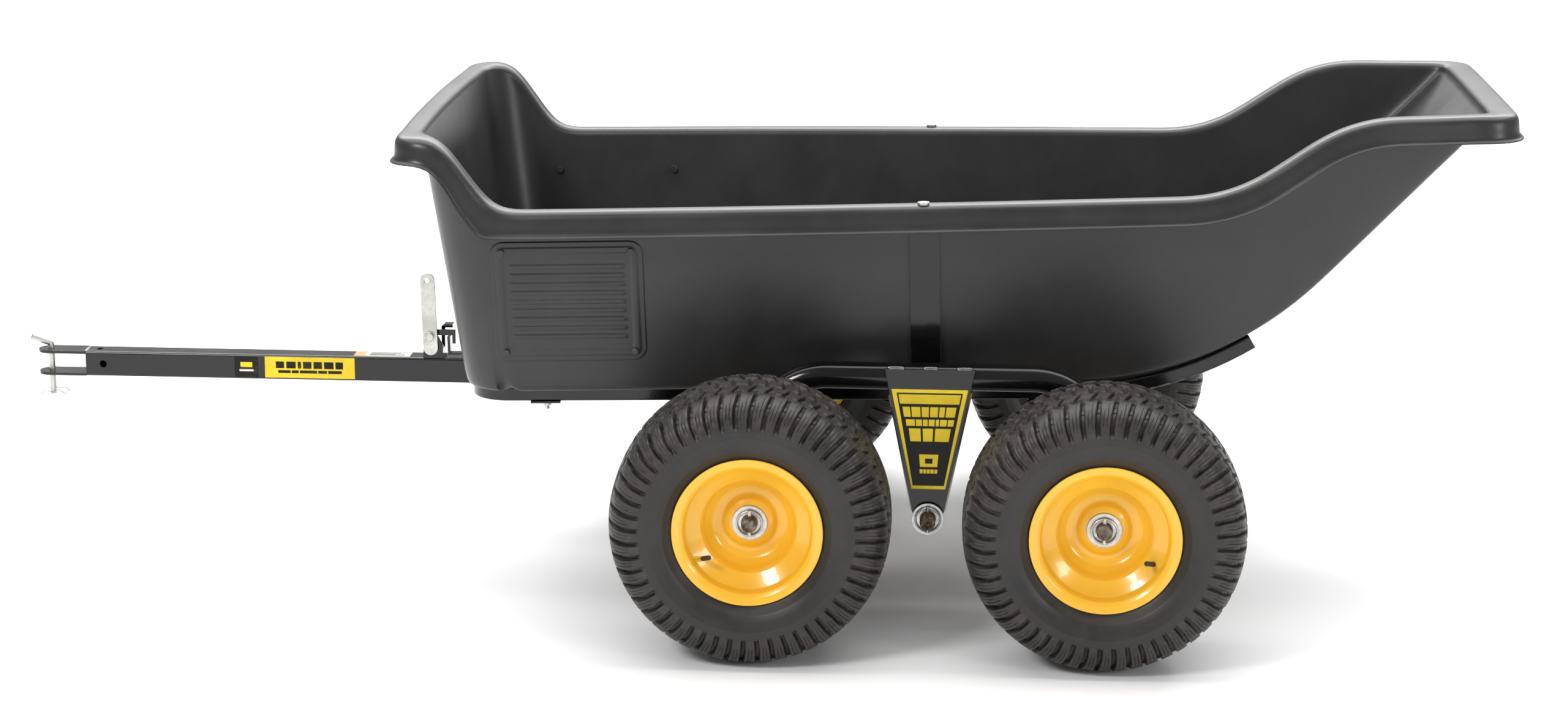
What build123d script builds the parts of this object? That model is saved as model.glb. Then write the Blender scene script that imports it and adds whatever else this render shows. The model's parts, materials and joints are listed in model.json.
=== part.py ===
from build123d import *
import math
import os

# Tow-behind dump cart: a moulded tub on a bent-tube frame, tipping about one long
# cross axle, with a bent walking arm and two wheels on each end of that axle.
# Millimetres. +X runs to the rear, the hitch is at -X, +Z is up, left is -Y.
# The origin is on the ground below the middle of the overall length and width.

# ---- driving dimensions -------------------------------------------------------
AXLE_X = 321.93           # the cross axle, from the middle of the overall length
PIVOT_Z = 197.0           # height of the cross axle
TRACK_HALF = 540.0        # middle plane of a tyre, from the centre plane
WHEEL_SPREAD = 281.0      # each wheel axle, fore or aft of the cross axle
TYRE_R = 225.0
TYRE_HALF_W = 108.0
RIM_FLANGE_R = 120.0
AXLE_R = 12.7             # one inch shafting everywhere
RUNNING = 0.05            # radial clearance of a running fit

TUB_PITCH = 1.4           # the tub and its frame sit nose-down by this, in degrees
FLOOR_Z = 386.0           # tub numbers are in the tub's own level frame, X from the axle
WALL = 4.5
DRAFT = math.tan(math.radians(7.5))
LOW_RIM_Z = 706.5
HIGH_RIM_Z = 830.0
FRONT_X = -768.3          # front wall where it meets the floor
FRONT_LEAN = 0.1106
REAR_X = 980.0
HALF_W_FRONT = 343.0      # half widths of the floor: front, over the axle, rear
HALF_W_MID = 310.0
HALF_W_REAR = 203.0
CORNER_R = 75.0
EDGE_R = 28.0
SWEEP_X = 250.0           # where the floor begins to sweep up to the rear ramp
SWEEP_R = 566.0
RIM_W = 48.0              # how far the rim stands out past the side walls
RIM_FRONT_W = 43.0
RIM_DROP = 42.0
RIM_T = 5.0
REAR_LIP_X = 968.0

RAIL_Y = 275.0
RAIL = 25.0
RAIL_WALL = 2.0
RAIL_FRONT_X = -758.5
RAIL_BEND = 57.5

BAR = 44.45               # square drawbar tube
BAR_WALL = 3.2
BAR_TOP = 349.0
BAR_FRONT_X = -1497.5     # fore and aft places below are from the cross axle
BAR_REAR_X = 60.0
PIN_X = -1564.0
PIN_R = 5.55
PLATE_T = 5.0

ARCH_Y = 400.0
ARCH_Z = 428.0
ARCH_R = 22.2
ARCH_BEND = 115.0
BRACKET_FACE_Y = 427.5
AXLE_END_Y = 456.0
STUB_END_Y = 585.0

LATCH_X = -881.5
LATCH_Z = 389.0
LATCH_SCREW_R = 4.0

SIDES = {"left": -1, "right": 1}
ENDS = {"front": -1, "rear": 1}

os.makedirs("parts", exist_ok=True)


# ---- small helpers -------------------------------------------------------------
def save(name, *solids):
    """Write one node; several separate solids go in as one group."""
    pieces = [s for shape in solids for s in shape.solids()]
    export_step(pieces[0] if len(pieces) == 1 else Compound(children=pieces), f"parts/{name}.step")


def box(x0, x1, y0, y1, z0, z1):
    return Pos((x0 + x1) / 2, (y0 + y1) / 2, (z0 + z1) / 2) * Box(x1 - x0, y1 - y0, z1 - z0)


def rod_y(radius, y0, y1, x=0, z=0):
    return Pos(x, (y0 + y1) / 2, z) * Rot(90, 0, 0) * Cylinder(radius, abs(y1 - y0))


def rod_z(radius, z0, z1, x=0, y=0):
    return Pos(x, y, (z0 + z1) / 2) * Cylinder(radius, z1 - z0)


def tube_y(outer, inner, y0, y1, x=0, z=0):
    return rod_y(outer, y0, y1, x, z) - rod_y(inner, min(y0, y1) - 1, max(y0, y1) + 1, x, z)


def plate_xz(face, y0, y1):
    """A sketch drawn as (x, z), made a plate between two y planes."""
    return Pos(0, max(y0, y1), 0) * Rot(90, 0, 0) * extrude(face, abs(y1 - y0))


def spun(points, radius=0.0):
    """A closed outline of (radius, y) points turned about the Y axis."""
    face = make_face(Polyline(*points, close=True))
    if radius:
        face = fillet(face.vertices(), radius)
    return revolve(face, Axis.Y)


def at_axle(shape):
    """From numbers measured from the cross axle to the cart's frame."""
    return Pos(AXLE_X, 0, 0) * shape


def in_tub(shape):
    """From the tub's own level frame to the cart's frame, pitched about the axle."""
    return Pos(AXLE_X, 0, PIVOT_Z) * Rot(0, -TUB_PITCH, 0) * Pos(0, 0, -PIVOT_Z) * shape


def both_sides(shape):
    return [shape, mirror(shape, Plane.XZ)]


def wire_sweep(path, radius):
    return sweep(Plane(origin=path @ 0, z_dir=path % 0) * Circle(radius), path=path)


# ---- tub -------------------------------------------------------------------------
def tub_plan(z, grow, front_grow, rear_x, corner):
    """The tub's outline at height z: side arcs, a bowed front and a straight rear."""
    spread = (z - FLOOR_Z) * DRAFT + grow
    front = FRONT_X - (z - FLOOR_Z) * FRONT_LEAN - front_grow
    bow = 12.0
    half = [HALF_W_FRONT + spread, HALF_W_MID + spread, HALF_W_REAR + spread]
    places = list(zip((front, 0, rear_x), half))
    sides = [ThreePointArc(*[(x, s * y) for x, y in places]) for s in (1, -1)]
    nose = ThreePointArc((front, -half[0]), (front - bow, 0), (front, half[0]))
    tail = Line((rear_x, -half[2]), (rear_x, half[2]))
    face = make_face([nose, sides[0], tail, sides[1]])
    return Pos(0, 0, z) * fillet(face.vertices(), corner)


def tub_block(grow, front_grow, rear_x, corner, z0=FLOOR_Z, z1=870.0):
    ends = [tub_plan(z, grow, front_grow, rear_x, corner) for z in (z0, z1)]
    return loft(ends, ruled=True)


def under_profile(lift):
    """Everything above the floor, its rear sweep and the 45 degree ramp, raised by lift."""
    radius = SWEEP_R - lift
    z0 = FLOOR_Z + lift
    turn = math.radians(45)
    arc_end = (SWEEP_X + radius * math.sin(turn), z0 + radius * (1 - math.cos(turn)))
    top = 900.0
    ramp_top = (arc_end[0] + top - arc_end[1], top)
    floor = Line((-1000, z0), (SWEEP_X, z0))
    sweep_up = CenterArc((SWEEP_X, z0 + radius), radius, -90, 45)
    rest = Polyline(arc_end, ramp_top, (-1000, top), (-1000, z0))
    return plate_xz(make_face([floor, sweep_up, rest]), -600, 600)


def hollow(inset):
    """The tub's outer form (inset 0) or its inside (inset of one wall)."""
    block = tub_block(-inset, -inset, REAR_X + 60, CORNER_R - inset) & under_profile(inset)
    return fillet([e for e in block.edges() if on_underside(e, inset)], EDGE_R - inset)


def on_underside(edge, inset):
    """True for an edge between the underside (floor, sweep, ramp) and a side or front wall."""
    for t in (0.25, 0.75):
        p = edge @ t
        if p.X <= SWEEP_X:
            level = FLOOR_Z + inset
        else:
            radius = SWEEP_R - inset
            reach = min((p.X - SWEEP_X) / radius, math.sin(math.radians(45)))
            level = FLOOR_Z + inset + radius * (1 - math.sqrt(1 - reach * reach))
            level += max(0.0, p.X - SWEEP_X - radius * reach)
        if abs(p.Z - level) > 0.5:
            return False
    ends = [edge @ 0, edge @ 1]
    return abs(ends[0].Y + ends[1].Y) > 1 or abs(ends[0].X - ends[1].X) < 1 and ends[0].X < -600


def rim_line():
    """The rim's height along the tub: high front, low sides, high rear."""
    points = [(-1000, HIGH_RIM_Z), (-779, HIGH_RIM_Z), (-694, LOW_RIM_Z)]
    points += [(493, LOW_RIM_Z), (683, HIGH_RIM_Z), (1100, HIGH_RIM_Z)]
    return FilletPolyline(*points, radius=(60, 60, 250, 250))


def under_rim(drop):
    """Everything below the rim line, itself lowered square to the line by drop."""
    line = rim_line()
    if drop:
        line = offset(line, drop, side=Side.RIGHT, closed=False)
    start, end = line @ 0, line @ 1
    if start.X > end.X:
        start, end = end, start
    under = Polyline((start.X, start.Y), (start.X, 300), (end.X, 300), (end.X, end.Y))
    return plate_xz(make_face([line, under]), -600, 600)


def wall_y(x, z):
    """Half width of the tub's outer wall, from the arc through its three half widths."""
    rise = (z - FLOOR_Z) * DRAFT
    front, middle, rear = HALF_W_FRONT + rise, HALF_W_MID + rise, HALF_W_REAR + rise
    side = ThreePointArc((FRONT_X, front), (0, middle), (REAR_X, rear))
    cut = Line((x, 0), (x, 900))
    return side.distance_to_with_closest_points(cut)[1].Y


inside = hollow(WALL)
shell = (hollow(0) & under_rim(0)) - inside
rim_outer = tub_block(RIM_W, RIM_FRONT_W, REAR_LIP_X, 62, z0=560)
rim_inner = tub_block(RIM_W - RIM_T, RIM_FRONT_W - RIM_T, REAR_LIP_X - RIM_T, 62 - RIM_T, z0=560)
top_plate = (rim_outer & (under_rim(0) - under_rim(RIM_T))) - inside
skirt = (rim_outer - rim_inner) & (under_rim(0) - under_rim(RIM_DROP))
tub = (shell + top_plate + skirt) - inside


# ---- panels on the tub's sides, held by four small bolts each ---------------------
PANEL_X = -585.0
PANEL_Z = 547.0
PANEL_LONG = 250.0
PANEL_HIGH = 206.0
PANEL_T = 3.0
PANEL_BOLT_R = 3.0
panel_ring = tub_block(PANEL_T + 0.3, 0.3, REAR_X, CORNER_R) - tub_block(0.3, 0.3, REAR_X + 9, CORNER_R)
panel_face = Pos(PANEL_X, PANEL_Z) * RectangleRounded(PANEL_LONG, PANEL_HIGH, 22)
panel = panel_ring & plate_xz(panel_face, 200, 600)
panel_bolts = []
for bolt_x in (PANEL_X - 106, PANEL_X + 106):
    for bolt_z in (PANEL_Z - 86, PANEL_Z + 86):
        y = wall_y(bolt_x, bolt_z)
        lean = Pos(bolt_x, y, bolt_z) * Rot(-7.5, 0, 3.5)
        head = rod_y(5.5, PANEL_T + 1.1, PANEL_T + 4.1)
        nut = rod_y(6.5, -WALL - 7.1, -WALL - 1.6)
        panel_bolts.append(lean * (head + nut + rod_y(PANEL_BOLT_R, -WALL - 3, PANEL_T + 2)))
        clear = lean * rod_y(PANEL_BOLT_R + 0.4, -30, 30)
        panel -= clear
        tub = tub - clear - mirror(clear, Plane.XZ)

# ---- tub frame: bent rails, saddle over the drawbar, cross tube, hangers ----------
RAIL_Z = FLOOR_Z - 1.0 - RAIL / 2
SADDLE_INNER = BAR / 2 + 3.0
RAIL_SWEEP = 29.0         # how far the rail's tail climbs along the floor's sweep, in degrees
RAIL_TOE_IN = 8.0         # the tails lean in as the tub narrows, in degrees


def rail(size, overrun):
    """One side rail: inward end, front bend, long straight and the rear sweep."""
    section = RectangleRounded(size, size, 4.0 if size == RAIL else 2.0)
    bend_x = RAIL_FRONT_X + RAIL_BEND
    inner = SADDLE_INNER + PLATE_T - overrun
    path = FilletPolyline((RAIL_FRONT_X, inner), (RAIL_FRONT_X, RAIL_Y), (SWEEP_X, RAIL_Y), radius=RAIL_BEND)
    flat = sweep(Plane(origin=path @ 0, z_dir=path % 0) * section, path=path)
    radius = (SWEEP_R + 1.0 + RAIL / 2) / math.cos(math.radians(RAIL_TOE_IN)) ** 2
    lap = 0.4
    start = Plane(origin=(0, 0, 0), z_dir=(1, 0, 0)) * section
    centre_line = Axis((0, 0, radius), (0, -1, 0))
    rise = revolve(start, centre_line, RAIL_SWEEP + lap + overrun / 10)
    rise = Pos(0, 0, radius) * Rot(0, lap, 0) * Pos(0, 0, -radius) * rise
    rise = Pos(SWEEP_X, RAIL_Y, 0) * Rot(0, 0, -RAIL_TOE_IN) * rise
    return Pos(0, 0, RAIL_Z) * (flat + rise)


rail_tube = rail(RAIL, 0) - rail(RAIL - 2 * RAIL_WALL, 0.5)

FRAME_BOLT_R = 4.0
frame_bolt_x = (-640.0, 190.0)
bolt_y = RAIL_Y - 5.0
frame_bolts = []
clamp_plates = []
for bolt_x in frame_bolt_x:
    floor_top = FLOOR_Z + WALL
    head = Pos(bolt_x, bolt_y, floor_top + 1.6) * Cylinder(10, 3)
    nut = extrude(Plane(origin=(bolt_x, bolt_y, RAIL_Z - RAIL / 2 - 10.5)) * RegularPolygon(7.5, 6), 6.5)
    shank = rod_z(FRAME_BOLT_R, RAIL_Z - RAIL / 2 - 17, floor_top + 1.5, bolt_x, bolt_y)
    frame_bolts.append(head + nut + shank)
    clear = rod_z(FRAME_BOLT_R + 0.4, 300, 430, bolt_x, bolt_y)
    seat = rod_z(10.4, floor_top - 0.2, 430, bolt_x, bolt_y)
    rail_under = RAIL_Z - RAIL / 2
    plate = box(bolt_x - 25, bolt_x + 25, RAIL_Y - 13, RAIL_Y + 13, rail_under - 3.8, rail_under - 0.3)
    clamp_plates.append(plate - clear)
    rail_tube -= clear
    tub = tub - clear - mirror(clear, Plane.XZ) - seat - mirror(seat, Plane.XZ)

saddle_low = RAIL_Z - RAIL / 2 + 2
saddle_top = FLOOR_Z - 11
saddle_outer = SADDLE_INNER + PLATE_T
saddle = box(RAIL_FRONT_X - 25, RAIL_FRONT_X + 25, -saddle_outer, saddle_outer, saddle_low, saddle_top)
saddle -= box(RAIL_FRONT_X - 30, RAIL_FRONT_X + 30, -SADDLE_INNER, SADDLE_INNER, 300, saddle_top - PLATE_T)

TONGUE_Y0 = -18.0         # the striker tongue runs forward beside the latch plate
TONGUE_Y1 = -4.0
STRIKER_X = -848.0
striker = box(STRIKER_X, RAIL_FRONT_X + 20, TONGUE_Y0, TONGUE_Y1, saddle_top + 0.1, saddle_top + 4.1)
striker += box(STRIKER_X, STRIKER_X + 5, TONGUE_Y0, TONGUE_Y1, saddle_top + 0.1, 408)

cross_tube = box(212, 237, -RAIL_Y + RAIL / 2, RAIL_Y - RAIL / 2, RAIL_Z - RAIL / 2, RAIL_Z + RAIL / 2)
cross_tube -= box(214, 235, -RAIL_Y, RAIL_Y, RAIL_Z - RAIL / 2 + 2, RAIL_Z + RAIL / 2 - 2)

HANGER_T = 6.0
BUSH_R = 19.0
hanger_top = RAIL_Z - RAIL / 2
hanger_points = [(-60, hanger_top), (60, hanger_top), (26, PIVOT_Z), (-26, PIVOT_Z)]
hanger_face = make_face(Polyline(*hanger_points, close=True))
hanger_face += Pos(0, PIVOT_Z) * Circle(26)
hanger = plate_xz(hanger_face, RAIL_Y - HANGER_T / 2, RAIL_Y + HANGER_T / 2)
hanger -= rod_y(BUSH_R, 200, 320, 0, PIVOT_Z)
hinge_bush = tube_y(BUSH_R, AXLE_R + RUNNING, RAIL_Y - 20, RAIL_Y + 20, 0, PIVOT_Z)

STRAP_W = 49.0
STRAP_T = 3.0
rim_under = LOW_RIM_Z - RIM_T - STRAP_T / 2 - 0.3
strap_top_y = wall_y(0, rim_under) + STRAP_T / 2 + 2.6
strap_low_y = wall_y(0, 440) + STRAP_T / 2 + 2.8
strap_drop_y = 318.0      # clear of the tub's rounded lower edge
strap_points = [(strap_top_y + 28, rim_under), (strap_top_y, rim_under), (strap_low_y, 440)]
strap_points += [(strap_drop_y, 410), (strap_drop_y, RAIL_Z - RAIL / 2 - 2), (280, RAIL_Z - RAIL / 2 - 2)]
strap_line = FilletPolyline(*strap_points, radius=(4, 20, 20, 5))
strap_edge = offset(strap_line, STRAP_T / 2, side=Side.BOTH, closed=True)
strap_face = make_face(strap_edge)
strap = extrude(Plane(origin=(-STRAP_W / 2 - 3, 0, 0), x_dir=(0, 1, 0), z_dir=(1, 0, 0)) * strap_face, STRAP_W)

RIM_BOLT_Y = strap_top_y + 20
rim_bolt = rod_z(4, rim_under - 12, LOW_RIM_Z + 1, -3, RIM_BOLT_Y)
rim_bolt += Pos(-3, RIM_BOLT_Y, LOW_RIM_Z + 2.3) * Cylinder(9.5, 4)
rim_bolt += extrude(Plane(origin=(-3, RIM_BOLT_Y, rim_under - 8.6)) * RegularPolygon(7.5, 6), 6.5)
clear = rod_z(4.4, rim_under - 30, LOW_RIM_Z + 20, -3, RIM_BOLT_Y)
strap -= clear
tub = tub - clear - mirror(clear, Plane.XZ)

save("tub_shell", in_tub(tub))
save("side_panels", *[in_tub(p) for p in both_sides(panel)])
save("panel_bolts", *[in_tub(p) for bolt in panel_bolts for p in both_sides(bolt)])
save("frame_rails", *[in_tub(p) for p in both_sides(rail_tube)])
save("frame_bolts", *[in_tub(p) for bolt in frame_bolts for p in both_sides(bolt)])
save("clamp_plates", *[in_tub(p) for plate in clamp_plates for p in both_sides(plate)])
save("front_saddle", in_tub(saddle))
save("latch_striker", in_tub(striker))
save("cross_tube", in_tub(cross_tube))
save("rail_hangers", *[in_tub(p) for p in both_sides(hanger)])
save("hinge_bushes", *[in_tub(p) for p in both_sides(hinge_bush)])
save("side_straps", *[in_tub(p) for p in both_sides(strap)])
save("rim_bolts", *[in_tub(p) for p in both_sides(rim_bolt)])


# ---- drawbar, hitch and cross axle ------------------------------------------------
BAR_MID = BAR_TOP - BAR / 2
SIDE_HOLE_X = -1466.5
TOP_HOLE_X = -1476.5
HOLE_R = 6.5


def bar_solid(size, x0, x1, corner):
    return Pos(x0, 0, BAR_MID) * extrude(Plane.YZ * RectangleRounded(size, size, corner), x1 - x0)


drawbar = bar_solid(BAR, BAR_FRONT_X, BAR_REAR_X, 4.0)
drawbar -= bar_solid(BAR - 2 * BAR_WALL, BAR_FRONT_X - 1, BAR_REAR_X + 1, 1.5)
drawbar -= rod_y(HOLE_R, -40, 40, SIDE_HOLE_X, BAR_MID)
drawbar -= rod_z(HOLE_R, BAR_MID, BAR_TOP + 9, TOP_HOLE_X)

tongue_face = Pos(PIN_X, 0) * Circle(BAR / 2 - 0.2)
tongue_face += Pos((PIN_X + BAR_FRONT_X) / 2, 0) * Rectangle(BAR_FRONT_X - PIN_X, BAR - 0.4)
tongue_face -= Pos(PIN_X, 0) * Circle(PIN_R + RUNNING)
tongues = [Pos(0, 0, z) * extrude(tongue_face, PLATE_T) for z in (BAR_TOP - PLATE_T, BAR_TOP - BAR)]

AXLE_HANGER_HALF = 55.0
web = make_face(Polyline((-AXLE_HANGER_HALF, BAR_MID + 8), (AXLE_HANGER_HALF, BAR_MID + 8),
                         (28, PIVOT_Z), (-28, PIVOT_Z), close=True))
web += Pos(0, PIVOT_Z) * Circle(28)
web -= Pos(0, PIVOT_Z) * Circle(AXLE_R)
axle_hangers = both_sides(plate_xz(web, BAR / 2, BAR / 2 + PLATE_T))

LINCH_R = 3.0
LINCH_RING_R = 20.0
LINCH_WIRE_R = 1.6
cross_axle = rod_y(AXLE_R, -AXLE_END_Y, AXLE_END_Y, 0, PIVOT_Z)
cross_axle = chamfer(cross_axle.faces().filter_by(Axis.Y).edges(), 1.0)
PIVOT_PIN_Y = AXLE_END_Y - 17.0
cross_axle -= rod_z(LINCH_R + 0.2, PIVOT_Z - 40, PIVOT_Z + 40, 0, PIVOT_PIN_Y)
cross_axle -= rod_z(LINCH_R + 0.2, PIVOT_Z - 40, PIVOT_Z + 40, 0, -PIVOT_PIN_Y)


def linch_pin(y):
    """A pin through the shaft, with a wire ring that snaps over the shaft's end."""
    shank = rod_z(LINCH_R, -LINCH_RING_R - 1.5, LINCH_RING_R + 1.5, 0, y)
    ring = Pos(0, y, 0) * Rot(90, 0, 0) * Torus(LINCH_RING_R, LINCH_WIRE_R)
    return shank + ring


def washer(y0, outer, thick=3.0):
    return tube_y(outer, AXLE_R + 0.3, y0, y0 + thick)


pivot_washer = Pos(0, 0, PIVOT_Z) * washer(PIVOT_PIN_Y - 7.4, 26.5)
pivot_linch = Pos(0, 0, PIVOT_Z) * linch_pin(PIVOT_PIN_Y)
spacer = tube_y(17.0, AXLE_R + 0.3, RAIL_Y + 20.4, 344.4, 0, PIVOT_Z)

# ---- tub latch --------------------------------------------------------------------
LATCH_LEAN = -1.7
EAR_Y0 = -22.0
EAR_Y1 = -17.0
upright = box(-866, -860, 2, 20, BAR_TOP, 396) + box(-866, -860, EAR_Y0, 20, BAR_TOP, 366)
curl_points = [(-866, 394), (-866, 401), (-861, 405), (-846, 405), (-846, 399), (-859, 399), (-860, 394)]
curl = make_face(Polyline(*curl_points, close=True))
upright += plate_xz(curl, 2, 20)
ear_points = [(-895, BAR_TOP), (-860, BAR_TOP), (-860, 372), (-869, LATCH_Z), (-894, LATCH_Z)]
ear_face = make_face(Polyline(*ear_points, close=True))
ear_face += Pos(LATCH_X, LATCH_Z) * Circle(12.5)
ear_face -= Pos(LATCH_X, LATCH_Z) * Circle(LATCH_SCREW_R + RUNNING)
latch_bracket = upright + plate_xz(ear_face, EAR_Y0, EAR_Y1)

LEVER_W = 25.4
LEVER_UP = 100.0
LEVER_DOWN = 21.0
lever_length = LEVER_UP + LEVER_DOWN + LEVER_W
lever_face = Pos(0, (LEVER_UP - LEVER_DOWN) / 2) * SlotOverall(lever_length, LEVER_W, rotation=90)
lever_face -= Pos(-1, LEVER_UP) * Circle(4.25)
lever_face -= Circle(LATCH_SCREW_R)
latch_lever = Pos(LATCH_X, 0, LATCH_Z) * Rot(0, LATCH_LEAN, 0) * plate_xz(lever_face, -26.8, -22.8)
hook_points = [(LATCH_X, LATCH_Z - 4), (LATCH_X + 10, LATCH_Z - 0.2), (-844.5, LATCH_Z - 0.2), (-844.5, 374)]
hook_points += [(-838.5, 374), (-838.5, LATCH_Z + 9.5), (LATCH_X, LATCH_Z + 9.5)]
hook_face = make_face(Polyline(*hook_points, close=True))
hook_face += Pos(LATCH_X, LATCH_Z) * Circle(11)
hook_face -= Pos(LATCH_X, LATCH_Z) * Circle(LATCH_SCREW_R)
latch_hook = plate_xz(hook_face, -14.5, -9.5)
latch_screw = rod_y(LATCH_SCREW_R, -28, 8) + rod_y(9.0, -28.2, -26.8) + rod_y(6.5, -32, -28)
latch_screw += tube_y(7.0, LATCH_SCREW_R, 3, 8)
latch_screw -= tube_y(30, LATCH_SCREW_R, -26.8, -22.8) + tube_y(30, LATCH_SCREW_R, -14.5, -9.5)
latch_screw = Pos(LATCH_X, 0, LATCH_Z) * latch_screw
coil = Helix(pitch=1.9, height=7.6, radius=6.2)
latch_spring = Pos(LATCH_X, 0.6, LATCH_Z) * Rot(90, 0, 0) * wire_sweep(coil, 0.7)

# ---- hitch pin and its clip --------------------------------------------------------
PIN_LOW = 266.0
CLIP_Z = 276.5
CLIP_R = 1.0
pin_points = [(PIN_X, 0, PIN_LOW), (PIN_X, 0, BAR_TOP + 9), (PIN_X - 30, -14, BAR_TOP + 24)]
pin_path = FilletPolyline(*pin_points, radius=8)
hitch_pin = wire_sweep(pin_path, PIN_R)
hitch_pin -= Pos(PIN_X, 0, CLIP_Z) * Rot(0, 90, 0) * Cylinder(CLIP_R + 0.2, 30)
front_y = -(PIN_R + CLIP_R + 0.4)
clip_points = [(-27, 0, 0), (24, 0, 0), (30, front_y / 2, -4), (23, front_y, -10), (11, front_y, -1.5),
               (0, front_y, -9), (-12, front_y, -2.5), (-21, front_y, -12)]
clip_path = FilletPolyline(*[(PIN_X + x, y, CLIP_Z + z) for x, y, z in clip_points], radius=2.4)
hair_clip = wire_sweep(clip_path, CLIP_R)

save("drawbar_tube", at_axle(drawbar))
save("hitch_tongues", *[at_axle(t) for t in tongues])
save("axle_hangers", *[at_axle(h) for h in axle_hangers])
save("cross_axle", at_axle(cross_axle))
save("axle_spacers", *[at_axle(s) for s in both_sides(spacer)])
save("pivot_washers", *[at_axle(w) for w in both_sides(pivot_washer)])
save("pivot_linch_pins", *[at_axle(p) for p in both_sides(pivot_linch)])
save("latch_bracket", at_axle(latch_bracket))
save("latch_lever", at_axle(latch_lever))
save("latch_hook", at_axle(latch_hook))
save("latch_screw", at_axle(latch_screw))
save("latch_spring", at_axle(latch_spring))
save("hitch_pin", at_axle(hitch_pin))
save("hair_clip", at_axle(hair_clip))

# ---- walking arms --------------------------------------------------------------------
ARM_BUSH_R = 21.0
ARM_BUSH_IN = 345.0
BRACKET_TOP_Z = 446.0
BRACKET_TOP_HALF = 73.0
BRACKET_LOW_HALF = 23.5
BRACKET_T = 5.0
FLANGE_DEEP = 26.0
STUB_PIN_Y = STUB_END_Y - 10.0
WHEEL_WASHER_Y = STUB_PIN_Y - 7.4
HUB_IN_Y = 440.0


def walking_arch():
    points = [(-WHEEL_SPREAD, ARCH_Y, TYRE_R - 34), (-WHEEL_SPREAD, ARCH_Y, ARCH_Z)]
    points += [(WHEEL_SPREAD, ARCH_Y, ARCH_Z), (WHEEL_SPREAD, ARCH_Y, TYRE_R - 34)]
    path = FilletPolyline(*points, radius=ARCH_BEND)
    section = Plane(origin=path @ 0, z_dir=path % 0)
    tube = sweep(section * Circle(ARCH_R), path=path) - sweep(section * Circle(ARCH_R - 3), path=path)
    for sign in ENDS.values():
        tube -= rod_y(AXLE_R, 300, 500, sign * WHEEL_SPREAD, TYRE_R)
    return tube


def arm_bracket():
    """A tapered face plate with two side flanges that lean outwards, and a round foot."""
    top, low = BRACKET_TOP_HALF, BRACKET_LOW_HALF
    outer_y = BRACKET_FACE_Y
    face_points = [(-top, BRACKET_TOP_Z), (top, BRACKET_TOP_Z), (low, PIVOT_Z), (-low, PIVOT_Z)]
    face = make_face(Polyline(*face_points, close=True))
    face += Pos(0, PIVOT_Z) * Circle(low)
    plate = plate_xz(face, outer_y - BRACKET_T, outer_y)
    lean = 5.0
    for sign in ENDS.values():
        root = [(sign * top, BRACKET_TOP_Z), (sign * (top - 4), BRACKET_TOP_Z)]
        root += [(sign * (low - 4), PIVOT_Z + 6), (sign * low, PIVOT_Z + 6)]
        near = Plane(origin=(0, outer_y - 1, 0), x_dir=(1, 0, 0), z_dir=(0, -1, 0))
        far = near.offset(FLANGE_DEEP)
        front_face = make_face(near * Polyline(*root, close=True))
        back_face = make_face(far * Polyline(*[(x + sign * lean, z) for x, z in root], close=True))
        plate += loft([front_face, back_face], ruled=True)
    plate -= Pos(0, ARCH_Y, ARCH_Z) * Rot(0, 90, 0) * Cylinder(ARCH_R + 0.1, 300)
    plate -= box(-200, 200, 380, outer_y - BRACKET_T - 0.01, ARCH_Z, 500)
    return plate - rod_y(ARM_BUSH_R, 300, 500, 0, PIVOT_Z)


arch = walking_arch()
bracket = arm_bracket()
arm_bush = tube_y(ARM_BUSH_R, AXLE_R + RUNNING, ARM_BUSH_IN, BRACKET_FACE_Y + 0.6, 0, PIVOT_Z)
stubs = []
for sign in ENDS.values():
    stub = rod_y(AXLE_R, ARCH_Y - 28, STUB_END_Y)
    stub = chamfer(stub.faces().filter_by(Axis.Y).edges(), 1.0)
    stub += tube_y(18, AXLE_R, ARCH_Y + ARCH_R + 0.8, HUB_IN_Y - 0.5)
    stub -= rod_z(LINCH_R + 0.2, -40, 40, 0, STUB_PIN_Y)
    stubs.append(Pos(sign * WHEEL_SPREAD, 0, TYRE_R) * stub)
wheel_washers = [Pos(sign * WHEEL_SPREAD, 0, TYRE_R) * washer(WHEEL_WASHER_Y, 28) for sign in ENDS.values()]
wheel_linches = [Pos(sign * WHEEL_SPREAD, 0, TYRE_R) * linch_pin(STUB_PIN_Y) for sign in ENDS.values()]

for side_name, side in SIDES.items():
    def placed(shape):
        return at_axle(shape if side > 0 else mirror(shape, Plane.XZ))

    save(f"walking_arch_{side_name}", placed(arch))
    save(f"arm_bracket_{side_name}", placed(bracket))
    save(f"arm_bush_{side_name}", placed(arm_bush))
    save(f"stub_axles_{side_name}", *[placed(s) for s in stubs])
    save(f"wheel_washers_{side_name}", *[placed(w) for w in wheel_washers])
    save(f"wheel_linch_pins_{side_name}", *[placed(p) for p in wheel_linches])

# ---- wheels ----------------------------------------------------------------------------
BEAD_R = 101.6
HUB_R = 21.0
HUB_OUT_Y = WHEEL_WASHER_Y - 0.6


def tyre():
    """A wide low-pressure tyre: flat crown, round shoulders, bulged sidewalls, hollow."""
    crown, shoulder = 88.0, 104.0
    outer = [(TYRE_R, -crown), (TYRE_R, crown), (204, shoulder), (165, TYRE_HALF_W)]
    outer += [(131, 98), (121, 83), (107, 80.5)]
    bead = [(BEAD_R + 2.6, 78), (BEAD_R + 0.9, 64), (113, 68)]
    inner = [(130, 82), (165, 95), (200, 91), (211, 78), (211, -78), (200, -91), (165, -95), (130, -82)]
    mirrored = [(r, -y) for r, y in reversed(bead)] + [(r, -y) for r, y in reversed(outer[2:])]
    return spun(outer + bead + inner + mirrored, 3.0)


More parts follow.
